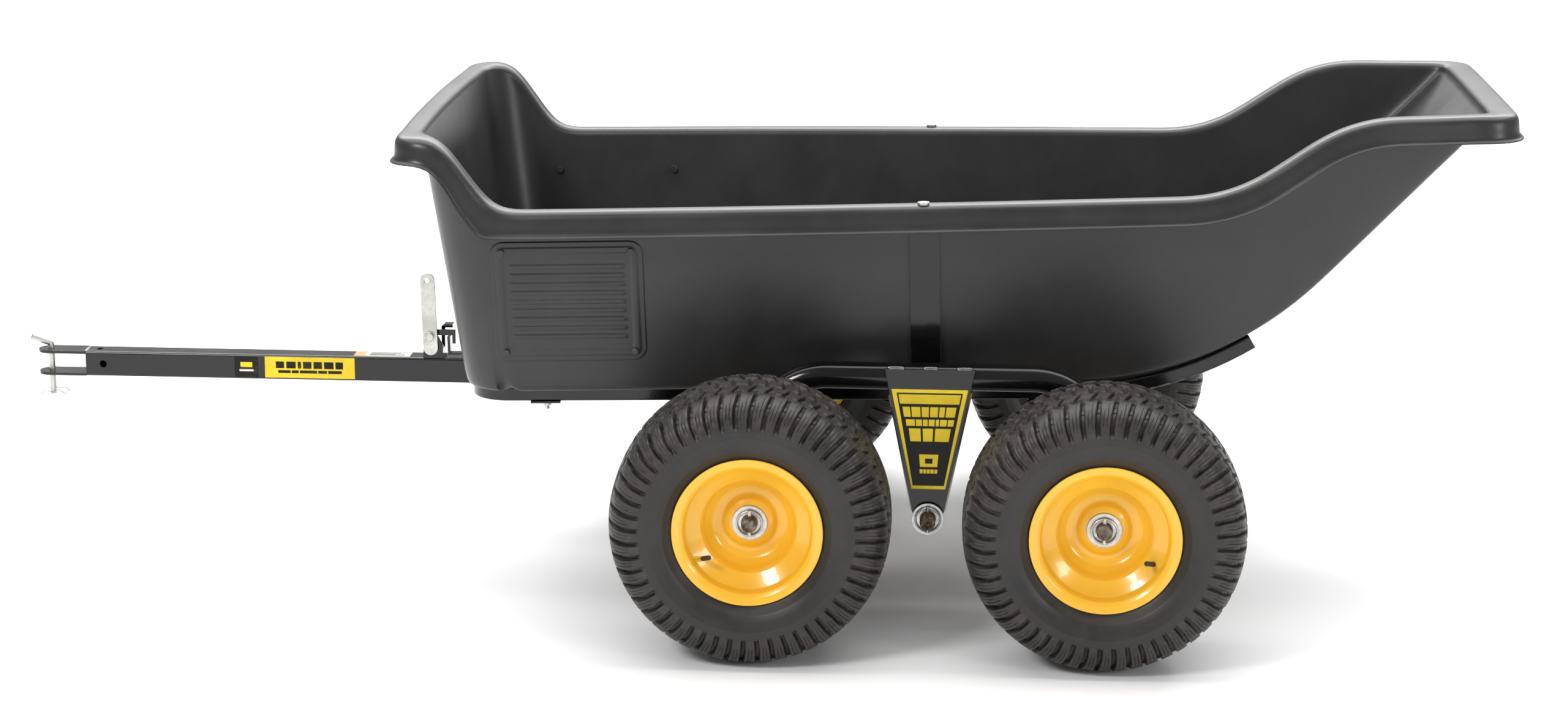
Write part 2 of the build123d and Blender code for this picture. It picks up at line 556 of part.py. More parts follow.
def rim():
    """A stamped disc wheel: rolled flanges, bead seats, a deep stepped bowl and a hub collar."""
    flange, seat, drop, wall = RIM_FLANGE_R, BEAD_R, 78.0, 3.0
    outside = [(flange, -86), (seat + 2, -83.5), (seat, -64), (drop, -50), (drop, 48), (seat, 64)]
    outside += [(seat + 2, 83.5), (flange, 86)]
    bowl = [(flange, 89), (102, 86.8), (99.6, 66.3), (76, 50.2), (74.5, 46), (70, 30), (58, 19)]
    bowl += [(44, 17), (37, 24), (HUB_R, 24)]
    back = [(HUB_R, 21), (35.5, 21), (42.5, 14), (59.5, 16), (73, 27.5), (drop - wall, 30), (drop - wall, -48)]
    back += [(seat - wall, -61), (seat - wall + 1, -87), (flange, -89)]
    return spun(outside + bowl + back)


tyre_shape = tyre()
rim_shape = rim()
BEARING_R = 17.0
hub = tube_y(HUB_R, BEARING_R, HUB_IN_Y - TRACK_HALF, HUB_OUT_Y - TRACK_HALF)
bearing = tube_y(BEARING_R, AXLE_R + RUNNING, 0, 26)
bearings = [Pos(0, HUB_IN_Y - TRACK_HALF, 0) * bearing, Pos(0, HUB_OUT_Y - TRACK_HALF - 26, 0) * bearing]
VALVE_R = 4.0
VALVE_AT = 89.0           # where a valve comes through the rim's sloping web
VALVE_WEB_Y = 59.0
valve_turns = {"front": 216.0, "rear": -30.0}
valve_line = Plane(origin=(VALVE_AT, VALVE_WEB_Y, 0), z_dir=(-0.56, 0.83, 0))
valve_stem = valve_line * (Pos(0, 0, 8.5) * Cylinder(VALVE_R, 33) + Pos(0, 0, -6) * Cylinder(7.0, 3))
valve_hole = valve_line * Cylinder(VALVE_R + 0.3, 30)

for side_name, side in SIDES.items():
    for end_name, end in ENDS.items():
        spot = Rot(0, -valve_turns[end_name], 0)
        valve = spot * valve_stem
        rim_cut = rim_shape - spot * valve_hole
        parts = {"tyre": [tyre_shape], "rim": [rim_cut], "hub": [hub], "bearings": bearings, "valve": [valve]}
        for part_name, shapes in parts.items():
            placed = [Pos(end * WHEEL_SPREAD, TRACK_HALF, TYRE_R) * s for s in shapes]
            if side < 0:
                placed = [mirror(s, Plane.XZ) for s in placed]
            save(f"{part_name}_{end_name}_{side_name}", *[at_axle(s) for s in placed])
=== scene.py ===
import json
import math

import bmesh
import bpy
import numpy as np
from mathutils import Matrix, Vector


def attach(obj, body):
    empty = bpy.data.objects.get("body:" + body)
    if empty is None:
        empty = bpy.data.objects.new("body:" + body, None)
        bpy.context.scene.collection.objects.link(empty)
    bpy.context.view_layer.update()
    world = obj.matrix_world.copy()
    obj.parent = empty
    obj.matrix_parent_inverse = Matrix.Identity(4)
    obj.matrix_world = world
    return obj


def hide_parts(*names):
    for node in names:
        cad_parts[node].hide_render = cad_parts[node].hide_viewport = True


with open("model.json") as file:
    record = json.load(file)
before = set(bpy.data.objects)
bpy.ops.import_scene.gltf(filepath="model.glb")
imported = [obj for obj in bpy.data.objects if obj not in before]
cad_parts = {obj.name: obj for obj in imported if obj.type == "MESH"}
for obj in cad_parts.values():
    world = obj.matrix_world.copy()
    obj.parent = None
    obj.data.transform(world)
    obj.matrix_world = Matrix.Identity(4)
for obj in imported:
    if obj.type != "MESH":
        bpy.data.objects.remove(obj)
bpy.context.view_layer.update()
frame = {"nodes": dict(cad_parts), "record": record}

# Looks of a tow-behind tipping cart. Shapes are worked out in millimetres and put
# into the row frame in metres. +X runs to the rear, left is -Y, the ground is Z 0.

MM = 0.001
SIDES = {"left": -1, "right": 1}
ENDS = {"front": -1, "rear": 1}

# ---- the part's own numbers, as the CAD has them ---------------------------------
AXLE_X = 321.93
PIVOT_Z = 197.0
TRACK_HALF = 540.0
WHEEL_SPREAD = 281.0
TYRE_R = 225.0
TUB_PITCH = math.radians(1.4)
FLOOR_Z = 386.0
WALL = 4.5
DRAFT = math.tan(math.radians(7.5))
LEAN = 0.1106
FRONT_X = -768.3
FRONT_BOW = 12.0
HALF_FRONT, HALF_MID, HALF_REAR, REAR_X = 343.0, 310.0, 203.0, 980.0
CORNER_R = 75.0
SWEEP_X, SWEEP_R = 250.0, 566.0
LOW_RIM, HIGH_RIM = 706.5, 830.0
RIM_LINE = [
    (-1000, HIGH_RIM), (-779, HIGH_RIM), (-694, LOW_RIM), (493, LOW_RIM), (683, HIGH_RIM),
    (1100, HIGH_RIM),
]
RIM_LINE_RADII = [0, 60, 60, 250, 250, 0]


# ---- curves and surfaces ------------------------------------------------------------
MOST_OF_A_RUN = 0.49  # an arc takes less than half of the run on either side of its corner


def rounded(points, radii, steps=8, closed=False):
    """A polyline with each corner replaced by an arc: the arc touches both runs at the
    corner's radius times the tangent of half the turn, and is stepped evenly by angle."""
    pts = [np.array(p, float) for p in points]
    count = len(pts)
    out = []
    for i, corner in enumerate(pts):
        if not radii[i] or (not closed and i in (0, count - 1)):
            out.append(corner)
            continue
        before, after = pts[i - 1], pts[(i + 1) % count]
        back = (before - corner) / np.linalg.norm(before - corner)
        ahead = (after - corner) / np.linalg.norm(after - corner)
        half = 0.5 * math.acos(np.clip(np.dot(back, ahead), -1, 1))
        shorter = min(np.linalg.norm(before - corner), np.linalg.norm(after - corner))
        reach = min(radii[i] / math.tan(half), MOST_OF_A_RUN * shorter)
        radius = reach * math.tan(half)
        middle = corner + (back + ahead) / np.linalg.norm(back + ahead) * radius / math.sin(half)
        start, end = corner + back * reach - middle, corner + ahead * reach - middle
        turn = math.acos(np.clip(np.dot(start, end) / radius**2, -1, 1))
        for t in np.linspace(0, 1, steps + 1):
            swung = math.sin((1 - t) * turn) * start + math.sin(t * turn) * end
            out.append(middle + swung / math.sin(turn))
    return np.array(out)


def flowing(points, per_run):
    """A Catmull-Rom curve through the points: each run is the cubic whose end slopes are
    half the chord between its neighbours."""
    p = np.array(points, float)
    p = np.vstack([2 * p[0] - p[1], p, 2 * p[-1] - p[-2]])
    t = np.linspace(0, 1, per_run, endpoint=False)[:, None]
    runs = []
    for a, b, c, d in zip(p, p[1:], p[2:], p[3:]):
        square, cube = 2 * a - 5 * b + 4 * c - d, 3 * b - a - 3 * c + d
        runs.append(0.5 * (2 * b + (c - a) * t + square * t**2 + cube * t**3))
    return np.vstack(runs + [p[-2:-1]])


def lengths(path):
    """Running length along a polyline."""
    return np.concatenate([[0], np.cumsum(np.linalg.norm(np.diff(path, axis=0), axis=1))])


def at_lengths(path, where):
    """The polyline's points at the given running lengths, straight between its corners."""
    run = lengths(path)
    return np.stack([np.interp(where, run, path[:, k]) for k in range(path.shape[1])], axis=1)


def grid_faces(columns, rows, wrap_columns=False, wrap_rows=False):
    """Quads between neighbouring points of a grid stored column by column."""
    c = np.arange(columns if wrap_columns else columns - 1)[:, None]
    r = np.arange(rows if wrap_rows else rows - 1)[None, :]
    c2, r2 = (c + 1) % columns, (r + 1) % rows
    quads = np.stack([c * rows + r, c2 * rows + r, c2 * rows + r2, c * rows + r2], axis=-1)
    return quads.reshape(-1, 4)


def piece(name, points, faces, body, materials, stands_for=(), face_material=None, smooth=40.0):
    """A closed mesh from points in metres and faces; doubled points are merged and the
    faces turned outwards."""
    mesh = bpy.data.meshes.new(name)
    mesh.from_pydata(np.asarray(points, float).reshape(-1, 3).tolist(), [], np.asarray(faces).tolist())
    for material in materials:
        mesh.materials.append(material)
    if face_material is not None:
        mesh.polygons.foreach_set("material_index", np.asarray(face_material, np.int32))
    work = bmesh.new()
    work.from_mesh(mesh)
    bmesh.ops.remove_doubles(work, verts=work.verts, dist=2e-6)
    bmesh.ops.dissolve_degenerate(work, dist=1e-6, edges=work.edges)
    bmesh.ops.recalc_face_normals(work, faces=work.faces)
    work.to_mesh(mesh)
    work.free()
    mesh.set_sharp_from_angle(angle=math.radians(smooth))
    made = bpy.data.objects.new(name, mesh)
    bpy.context.scene.collection.objects.link(made)
    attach(made, body)
    if stands_for:
        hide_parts(*stands_for)
    return made


def from_tub(points):
    """From the tub's level frame in millimetres to the row frame in metres: turned by the
    tub's pitch about the axle."""
    x, y, z = points[..., 0], points[..., 1], points[..., 2] - PIVOT_Z
    c, s = math.cos(TUB_PITCH), math.sin(TUB_PITCH)
    return np.stack([AXLE_X + x * c - z * s, y, PIVOT_Z + z * c + x * s], axis=-1) * MM


def from_axle(points):
    """From millimetres measured from the cross axle to the row frame in metres."""
    return (np.asarray(points, float) + [AXLE_X, 0, 0]) * MM


def mirrored(points, side):
    """The same points on the left (-1) or right (+1)."""
    return np.asarray(points, float) * [1, side, 1]


# ---- shader tools ---------------------------------------------------------------------
def add(tree, kind, inputs=None, **settings):
    """One shader node; an input given as a socket is linked, any other is its value."""
    made = tree.nodes.new("ShaderNode" + kind)
    for key, value in settings.items():
        setattr(made, key, value)
    for key, value in (inputs or {}).items():
        if isinstance(value, bpy.types.NodeSocket):
            tree.links.new(value, made.inputs[key])
        else:
            made.inputs[key].default_value = value
    return made


def calc(tree, operation, a, b=0.0):
    """One sum, product or other step of arithmetic."""
    return add(tree, "Math", {0: a, 1: b}, operation=operation).outputs[0]


def ease(tree, value, low, high, to_low=0.0, to_high=1.0):
    """The value's climb from low to high, smooth at both ends."""
    limits = {"Value": value, "From Min": low, "From Max": high, "To Min": to_low, "To Max": to_high}
    return add(tree, "MapRange", limits, interpolation_type="SMOOTHSTEP").outputs[0]


def mix(tree, amount, a, b):
    """Two colours mixed."""
    return add(tree, "Mix", {0: amount, 6: a, 7: b}, data_type="RGBA").outputs[2]


def group(name, inputs, outputs):
    """An empty shader group with float inputs {name: value} and outputs {name: kind}."""
    tree = bpy.data.node_groups.new(name, "ShaderNodeTree")
    for key, value in inputs.items():
        tree.interface.new_socket(key, in_out="INPUT", socket_type="NodeSocketFloat").default_value = value
    for key, kind in outputs.items():
        tree.interface.new_socket(key, in_out="OUTPUT", socket_type="NodeSocket" + kind)
    return tree, tree.nodes.new("NodeGroupInput").outputs, tree.nodes.new("NodeGroupOutput").inputs


def object_place(tree):
    """Where a point lies on the object itself."""
    return add(tree, "TexCoord").outputs["Object"]


def noise(tree, place, scale, detail, roughness=0.5):
    """Soft noise at a place."""
    inputs = {"Vector": place, "Scale": scale, "Detail": detail, "Roughness": roughness}
    return add(tree, "TexNoise", inputs).outputs[0]


def grain_group():
    """Fine and broad noise over the surface: Fine for bump, Broad for tone."""
    scales = {"Fine Scale": 900.0, "Broad Scale": 9.0}
    tree, given, put = group("grain", scales, {"Fine": "Float", "Broad": "Float"})
    place = object_place(tree)
    tree.links.new(noise(tree, place, given["Fine Scale"], 3.0, 0.6), put["Fine"])
    tree.links.new(noise(tree, place, given["Broad Scale"], 6.0, 0.62), put["Broad"])
    return tree


def wear_group():
    """Where edges are rubbed: how far a bevelled normal leaves the true one, broken up by
    noise. Also gives the bevelled normal, so edges catch the light."""
    outputs = {"Mask": "Float", "Normal": "Vector"}
    tree, given, put = group("edge_wear", {"Amount": 0.5, "Scale": 60.0}, outputs)
    bevel = add(tree, "Bevel", {"Radius": 0.0014}, samples=4).outputs[0]
    true = add(tree, "NewGeometry").outputs["Normal"]
    alike = add(tree, "VectorMath", {0: bevel, 1: true}, operation="DOT_PRODUCT").outputs["Value"]
    edge = ease(tree, alike, 0.985, 0.86)
    patchy = noise(tree, object_place(tree), given["Scale"], 5.0)
    raised = calc(tree, "ADD", patchy, calc(tree, "MULTIPLY", given["Amount"], 0.3))
    broken = ease(tree, raised, 0.60, 0.72)
    tree.links.new(calc(tree, "MULTIPLY", edge, broken), put["Mask"])
    tree.links.new(bevel, put["Normal"])
    return tree


def dust_group():
    """Dust that lies on faces that look up, in soft patches."""
    tree, given, put = group("dust", {"Amount": 0.3, "Scale": 7.0}, {"Mask": "Float"})
    up = add(tree, "SeparateXYZ", {0: add(tree, "NewGeometry").outputs["Normal"]}).outputs["Z"]
    patches = ease(tree, noise(tree, object_place(tree), given["Scale"], 7.0), 0.40, 0.70)
    lies = calc(tree, "MULTIPLY", ease(tree, up, 0.1, 1.0, 0.15, 1.0), patches)
    tree.links.new(calc(tree, "MULTIPLY", lies, given["Amount"]), put["Mask"])
    return tree


def scratch_group():
    """Thin scratches: the level lines of stretched noise, kept only in patches."""
    tree, given, put = group("scratches", {"Scale": 30.0, "Amount": 0.5}, {"Mask": "Float"})
    place = object_place(tree)
    lines = []
    for turn in (0.35, -0.9):
        stretch = {"Vector": place, "Rotation": (0.4, turn, turn), "Scale": (1.0, 6.0, 9.0)}
        laid = add(tree, "Mapping", stretch).outputs[0]
        streaks = noise(tree, laid, given["Scale"], 1.0)
        away = calc(tree, "ABSOLUTE", calc(tree, "SUBTRACT", streaks, 0.5))
        lines.append(ease(tree, away, 0.006, 0.0))
    patch = noise(tree, place, 11.0, 2.0)
    kept = calc(tree, "MULTIPLY", ease(tree, patch, 0.52, 0.66), given["Amount"])
    tree.links.new(calc(tree, "MULTIPLY", calc(tree, "MAXIMUM", *lines), kept), put["Mask"])
    return tree


GRAIN, WEAR, DUST, SCRATCH = grain_group(), wear_group(), dust_group(), scratch_group()


def use(tree, shared, **values):
    """A shared group placed in a material with its own values."""
    made = tree.nodes.new("ShaderNodeGroup")
    made.node_tree = shared
    for key, value in values.items():
        made.inputs[key.replace("_", " ")].default_value = value
    return made.outputs


def finish(
    name, base, second, rough, spread=0.12, metal=0.0, coat=0.0, coat_rough=0.08, fine=900.0, broad=9.0,
    bump=0.06, depth=0.0004, wear=None, wear_amount=0.5, wear_metal=1.0, dust=0.0,
    dust_colour=(0.30, 0.26, 0.21, 1), scratches=0.0, scratch_tone=(0.25, 0.25, 0.25, 1), shine=0.5,
    extra=None,
):
    """A finish in layers: two tones by broad noise, rubbed edges, dust, scratches, and a
    fine bump. extra(tree, colour, rough, height) may change those three sockets."""
    material = bpy.data.materials.new(name)
    material.use_nodes = True
    tree = material.node_tree
    shader = tree.nodes["Principled BSDF"]
    grain = use(tree, GRAIN, Fine_Scale=fine, Broad_Scale=broad)
    worn = use(tree, WEAR, Amount=wear_amount)
    tone = ease(tree, grain["Broad"], 0.32, 0.68)
    colour = mix(tree, tone, base, second)
    swing = calc(tree, "MULTIPLY", calc(tree, "SUBTRACT", grain["Broad"], 0.5), spread * 2)
    roughness = calc(tree, "ADD", swing, rough)
    height = grain["Fine"]
    if extra:
        colour, roughness, height = extra(tree, colour, roughness, height)
    if scratches:
        mask = use(tree, SCRATCH, Amount=scratches)["Mask"]
        colour = mix(tree, mask, colour, scratch_tone)
        roughness = calc(tree, "ADD", roughness, calc(tree, "MULTIPLY", mask, 0.25))
    if wear:
        colour = mix(tree, worn["Mask"], colour, wear)
        roughness = mix_value(tree, worn["Mask"], roughness, 0.42)
        if wear_metal != metal:
            tree.links.new(mix_value(tree, worn["Mask"], metal, wear_metal), shader.inputs["Metallic"])
    if dust:
        mask = use(tree, DUST, Amount=dust)["Mask"]
        colour = mix(tree, mask, colour, dust_colour)
        roughness = mix_value(tree, mask, roughness, 0.85)
    shader.inputs["Metallic"].default_value = metal
    shader.inputs["Coat Weight"].default_value = coat
    shader.inputs["Coat Roughness"].default_value = coat_rough
    shader.inputs["Specular IOR Level"].default_value = shine
    tree.links.new(colour, shader.inputs["Base Color"])
    tree.links.new(roughness, shader.inputs["Roughness"])
    bumps = {"Strength": bump, "Distance": depth, "Height": height, "Normal": worn["Normal"]}
    relief = add(tree, "Bump", bumps)
    tree.links.new(relief.outputs[0], shader.inputs["Normal"])
    return material


def mix_value(tree, amount, a, b):
    """Two numbers mixed."""
    return add(tree, "Mix", {0: amount, 2: a, 3: b}, data_type="FLOAT").outputs[0]


def pebbled(tree, colour, roughness, height):
    """Moulded texture: small rounded cells over the fine noise."""
    cells = add(tree, "TexVoronoi", {"Vector": object_place(tree), "Scale": 420.0}).outputs["Distance"]
    return colour, roughness, calc(tree, "ADD", height, calc(tree, "MULTIPLY", cells, 0.8))


def spangled(tree, colour, roughness, height):
    """Zinc's small crystals: each cell has its own brightness and gloss."""
    cells = add(tree, "TexVoronoi", {"Vector": object_place(tree), "Scale": 260.0}).outputs["Color"]
    level = add(tree, "SeparateColor", {0: cells}).outputs[0]
    colour = mix(tree, calc(tree, "MULTIPLY", level, 0.35), colour, (0.42, 0.42, 0.40, 1))
    return colour, calc(tree, "ADD", roughness, calc(tree, "MULTIPLY", level, 0.10)), height


def rusted(tree, colour, roughness, height):
    """Rust freckles that grow together into brown patches."""
    place = object_place(tree)
    spots = ease(tree, noise(tree, place, 70.0, 8.0, 0.7), 0.42, 0.60)
    colour = mix(tree, spots, colour, (0.10, 0.062, 0.032, 1))
    freckles = ease(tree, noise(tree, place, 420.0, 3.0), 0.55, 0.62)
    colour = mix(tree, calc(tree, "MULTIPLY", freckles, 0.7), colour, (0.16, 0.085, 0.035, 1))
    return colour, mix_value(tree, spots, roughness, 0.8), calc(tree, "ADD", height, spots)


def road_film(tree, colour, roughness, height):
    """Brown film that gathers on the tread, thin on the sidewall, by the tyre's own
    attribute: 1 on the tread blocks, 0 on the sidewall."""
    tread = add(tree, "Attribute", attribute_name="tread").outputs["Fac"]
    patches = ease(tree, noise(tree, object_place(tree), 38.0, 8.0, 0.7), 0.35, 0.75)
    most = calc(tree, "ADD", calc(tree, "MULTIPLY", tread, 0.30), 0.05)
    film = calc(tree, "MULTIPLY", patches, most)
    return mix(tree, film, colour, (0.155, 0.118, 0.088, 1)), mix_value(tree, film, roughness, 0.9), height


MATERIALS = {
    "tub_plastic": finish(
        "tub_plastic", (0.0145, 0.0145, 0.015, 1), (0.020, 0.020, 0.0205, 1), 0.36, 0.07, bump=0.10,
        depth=0.0003, fine=1500, wear=(0.07, 0.07, 0.07, 1), wear_amount=0.2, wear_metal=0.0, dust=0.07,
        scratches=0.12, scratch_tone=(0.10, 0.10, 0.10, 1), extra=pebbled,
    ),
    "black_paint": finish(
        "black_paint", (0.0025, 0.0025, 0.003, 1), (0.005, 0.005, 0.005, 1), 0.16, 0.06, coat=0.25,
        fine=260, bump=0.02, depth=0.0004, wear=(0.16, 0.15, 0.14, 1), wear_amount=0.1, dust=0.02,
        scratches=0.15, scratch_tone=(0.07, 0.07, 0.07, 1), shine=0.32,
    ),
    "black_screws": finish(
        "black_screws", (0.012, 0.012, 0.012, 1), (0.022, 0.021, 0.020, 1), 0.34, fine=700,
        wear=(0.25, 0.24, 0.22, 1), wear_amount=0.5, dust=0.1,
    ),
    "zinc": finish(
        "zinc", (0.62, 0.61, 0.58, 1), (0.48, 0.47, 0.44, 1), 0.32, 0.12, metal=1.0, fine=1200,
        broad=25, bump=0.05, depth=0.0002, dust=0.12, scratches=0.4, scratch_tone=(0.75, 0.75, 0.74, 1),
        extra=spangled,
    ),
    "bare_steel": finish(
        "bare_steel", (0.22, 0.20, 0.17, 1), (0.13, 0.115, 0.09, 1), 0.42, 0.2, metal=0.9, fine=500,
        broad=40, bump=0.25, depth=0.0004, dust=0.15, extra=rusted,
    ),
    "bush_steel": finish(
        "bush_steel", (0.10, 0.10, 0.10, 1), (0.06, 0.058, 0.055, 1), 0.38, metal=0.8, fine=600,
        broad=50, bump=0.12, dust=0.1, scratches=0.3, scratch_tone=(0.3, 0.3, 0.3, 1),
    ),
    "wheel_paint": finish(
        "wheel_paint", (0.86, 0.49, 0.030, 1), (0.83, 0.44, 0.020, 1), 0.24, 0.08, coat=0.4,
        coat_rough=0.04, fine=120, broad=5, bump=0.03, depth=0.0006, wear=(0.24, 0.17, 0.10, 1),
        wear_amount=-0.3, wear_metal=0.2, dust=0.05, dust_colour=(0.42, 0.27, 0.12, 1), scratches=0.12,
        scratch_tone=(0.9, 0.6, 0.2, 1),
    ),
    "tyre": finish(
        "tyre", (0.015, 0.0145, 0.0145, 1), (0.022, 0.021, 0.0205, 1), 0.42, 0.10, fine=520, broad=12,
        bump=0.14, depth=0.0005, wear=(0.060, 0.056, 0.053, 1), wear_amount=0.1, wear_metal=0.0,
        dust=0.05, shine=0.4, extra=road_film,
    ),
    "bearing_nylon": finish(
        "bearing_nylon", (0.014, 0.014, 0.014, 1), (0.024, 0.024, 0.024, 1), 0.45, dust=0.1,
    ),
    "valve_rubber": finish(
        "valve_rubber", (0.010, 0.010, 0.010, 1), (0.018, 0.017, 0.016, 1), 0.5, fine=1400, bump=0.12,
        dust=0.12,
    ),
    "label_yellow": finish(
        "label_yellow", (0.86, 0.64, 0.035, 1), (0.80, 0.57, 0.028, 1), 0.42, fine=600, broad=30,
        wear=(0.35, 0.28, 0.10, 1), wear_amount=0.2, wear_metal=0.0, dust=0.08, scratches=0.9,
        scratch_tone=(0.30, 0.23, 0.06, 1), shine=0.2,
    ),
    "label_black": finish(
        "label_black", (0.005, 0.005, 0.005, 1), (0.010, 0.009, 0.008, 1), 0.34, fine=600, broad=60,
        dust=0.04, scratches=0.8, scratch_tone=(0.42, 0.32, 0.06, 1), shine=0.2,
    ),
    "label_pale": finish(
        "label_pale", (0.70, 0.68, 0.62, 1), (0.60, 0.58, 0.52, 1), 0.45, fine=600, broad=40, dust=0.2,
    ),
    "label_orange": finish(
        "label_orange", (0.80, 0.30, 0.03, 1), (0.70, 0.25, 0.02, 1), 0.42, fine=600, broad=40,
        dust=0.1,
    ),
    "weld": finish(
        "weld", (0.30, 0.29, 0.27, 1), (0.16, 0.15, 0.14, 1), 0.26, 0.2, metal=0.9, fine=800, broad=90,
        bump=0.2, dust=0.05,
    ),
}
for part in frame["record"]["subparts"]:
    node = frame["nodes"].get(part["node"])
    if node is not None:
        node.data.materials.clear()
        node.data.materials.append(MATERIALS[part["material_slot"]])


# ---- the tub's skin -----------------------------------------------------------------------
def side_half(x):
    """Half width at floor level: the circle through the front, middle and rear widths."""
    (x1, y1), (x2, y2), (x3, y3) = (FRONT_X, HALF_FRONT), (0.0, HALF_MID), (REAR_X, HALF_REAR)
    sides = np.array([[2 * (x2 - x1), 2 * (y2 - y1)], [2 * (x3 - x2), 2 * (y3 - y2)]])
    squares = np.array([x2**2 + y2**2 - x1**2 - y1**2, x3**2 + y3**2 - x2**2 - y2**2])
    cx, cy = np.linalg.solve(sides, squares)
    radius = math.hypot(x1 - cx, y1 - cy)
    return cy + math.copysign(1, y2 - cy) * np.sqrt(radius**2 - (x - cx) ** 2)


def rim_height(x):
    """Height of the rim line: high at both ends, low along the sides, with round turns."""
    line = rounded(RIM_LINE, RIM_LINE_RADII, 24)
    return np.interp(x, line[:, 0], line[:, 1])


def floor_height(x, lift):
    """Flat floor, then a circular sweep, then a 45 degree ramp, all raised by lift."""
    radius = SWEEP_R - lift
    turn = math.sin(math.radians(45))
    reach = np.clip((x - SWEEP_X) / radius, 0, turn)
    ramp = np.maximum(0, x - SWEEP_X - radius * turn)
    return FLOOR_Z + lift + radius * (1 - np.sqrt(1 - reach**2)) + ramp


def wall_height(x, y, inset):
    """Height at which the leaning walls pass over a point of the plan. The side and front
    are ruled; the corner is a circle of one radius whose centre moves out with height, so
    its height is the smaller root of a quadratic."""
    y = np.abs(y)
    side = FLOOR_Z + (y - side_half(np.clip(x, -950, 1200)) + inset) / DRAFT
    front = FLOOR_Z + (FRONT_X + inset - x) / LEAN
    for _ in range(3):
        half = HALF_FRONT + DRAFT * np.maximum(front - FLOOR_Z, 0)
        front = FLOOR_Z + (FRONT_X + inset - FRONT_BOW * (1 - (y / half) ** 2) - x) / LEAN
    cy = side_half(FRONT_X + CORNER_R) - CORNER_R
    cx = FRONT_X - FRONT_BOW * (1 - (cy / HALF_FRONT) ** 2) + CORNER_R
    qx, qy = x - cx, y - cy
    along = -qx * LEAN + qy * DRAFT
    speed = LEAN**2 + DRAFT**2
    root = np.maximum(along**2 - speed * (qx**2 + qy**2 - (CORNER_R - inset) ** 2), 0)
    corner = FLOOR_Z + (along - np.sqrt(root)) / speed
    on_side = x >= cx - LEAN * (side - FLOOR_Z)
    on_front = y <= cy + DRAFT * (front - FLOOR_Z)
    beside = np.where(on_front, np.maximum(side, front), side)
    return np.where(on_side, beside, np.where(on_front, front, corner))


def tub_height(x, y, inset, blend):
    """The larger of floor and wall, with the meeting line rounded: half the sum plus half
    the root of the squared difference and the squared blend."""
    low, high = floor_height(x, inset), wall_height(x, y, inset)
    steep = np.clip((x - SWEEP_X) / (SWEEP_R * math.sin(math.radians(45))), 0, 1)
    blend = blend * (1 + 0.41 * steep**2)
    return 0.5 * (low + high + np.sqrt((low - high) ** 2 + blend**2))


TUB_COLUMNS, INNER_ROWS, OUTER_ROWS = 560, 42, 36
INNER_BLEND, OUTER_BLEND = 26.0, 30.0
INNER_DROP, OUTER_DROP = 12.0, 17.0
REAR_EDGE_X, REAR_CORNER_R = 910.0, 48.0
FRONT_POLE, REAR_POLE = -520.0, 700.0


def tub_outline():
    """The plan of the inside edge at the rim, round from the rear middle, and the centre
    line point that each column starts from. Corners get closer columns."""
    cy = side_half(FRONT_X + CORNER_R) - CORNER_R + DRAFT * (HIGH_RIM - FLOOR_Z)
    cx = FRONT_X - 5 + CORNER_R - LEAN * (HIGH_RIM - FLOOR_Z)
    radius = CORNER_R - WALL
    x = np.linspace(REAR_EDGE_X - REAR_CORNER_R, cx, 200)
    side = np.stack([x, side_half(x) - WALL + DRAFT * (rim_height(x) - FLOOR_Z)], 1)
    turn = np.linspace(0, math.pi / 2, 40)
    corner = np.stack([cx - radius * np.sin(turn), cy + radius * np.cos(turn)], 1)
    y = np.linspace(cy, 0, 60)[1:]
    nose = np.stack([cx - radius - FRONT_BOW * (1 - (y / cy) ** 2) * 0.6, y], 1)
    rear_turn = np.linspace(0, math.pi / 2, 30)
    rear_y = side[0, 1]
    rear_x = REAR_EDGE_X - REAR_CORNER_R * (1 - np.cos(rear_turn))
    rear = np.stack([rear_x, rear_y - REAR_CORNER_R * (1 - np.sin(rear_turn))], 1)
    tail = np.stack([np.full(30, REAR_EDGE_X), np.linspace(0, rear_y - REAR_CORNER_R, 30)], 1)
    half = np.vstack([tail[:-1], rear[:-1], side[:-1], corner, nose])
    step = np.diff(half, axis=0)
    heading = np.unwrap(np.arctan2(step[:, 1], step[:, 0]))
    bend = np.concatenate([[0], np.abs(np.diff(heading))])
    weight = np.concatenate([[0], np.cumsum(np.linalg.norm(step, axis=1) + 90 * bend)])
    want = np.linspace(0, weight[-1], TUB_COLUMNS // 2 + 1)
    near = np.stack([np.interp(want, weight, half[:, k]) for k in (0, 1)], 1)
    around = np.vstack([near, near[-2:0:-1] * [1, -1]])
    middle = np.stack([np.clip(around[:, 0], FRONT_POLE, REAR_POLE), np.zeros(len(around))], 1)
    return around, middle


def rim_slope(x):
    """How steeply the rim line climbs at x."""
    return (rim_height(x + 1) - rim_height(x - 1)) / 2


def where_high(around, middle, inset, blend, drop):
    """How far out along each column, as a share, the surface comes to drop below the rim
    line, measured square to that line; found by halving."""
    low, high = np.full(len(around), 0.5), np.full(len(around), 1.25)
    for _ in range(45):
        share = (low + high) / 2
        spot = middle + (around - middle) * share[:, None]
        goal = rim_height(spot[:, 0]) - drop * np.sqrt(1 + rim_slope(spot[:, 0]) ** 2)
        under = tub_height(spot[:, 0], spot[:, 1], inset, blend) < goal
        low, high = np.where(under, share, low), np.where(under, high, share)
    return share


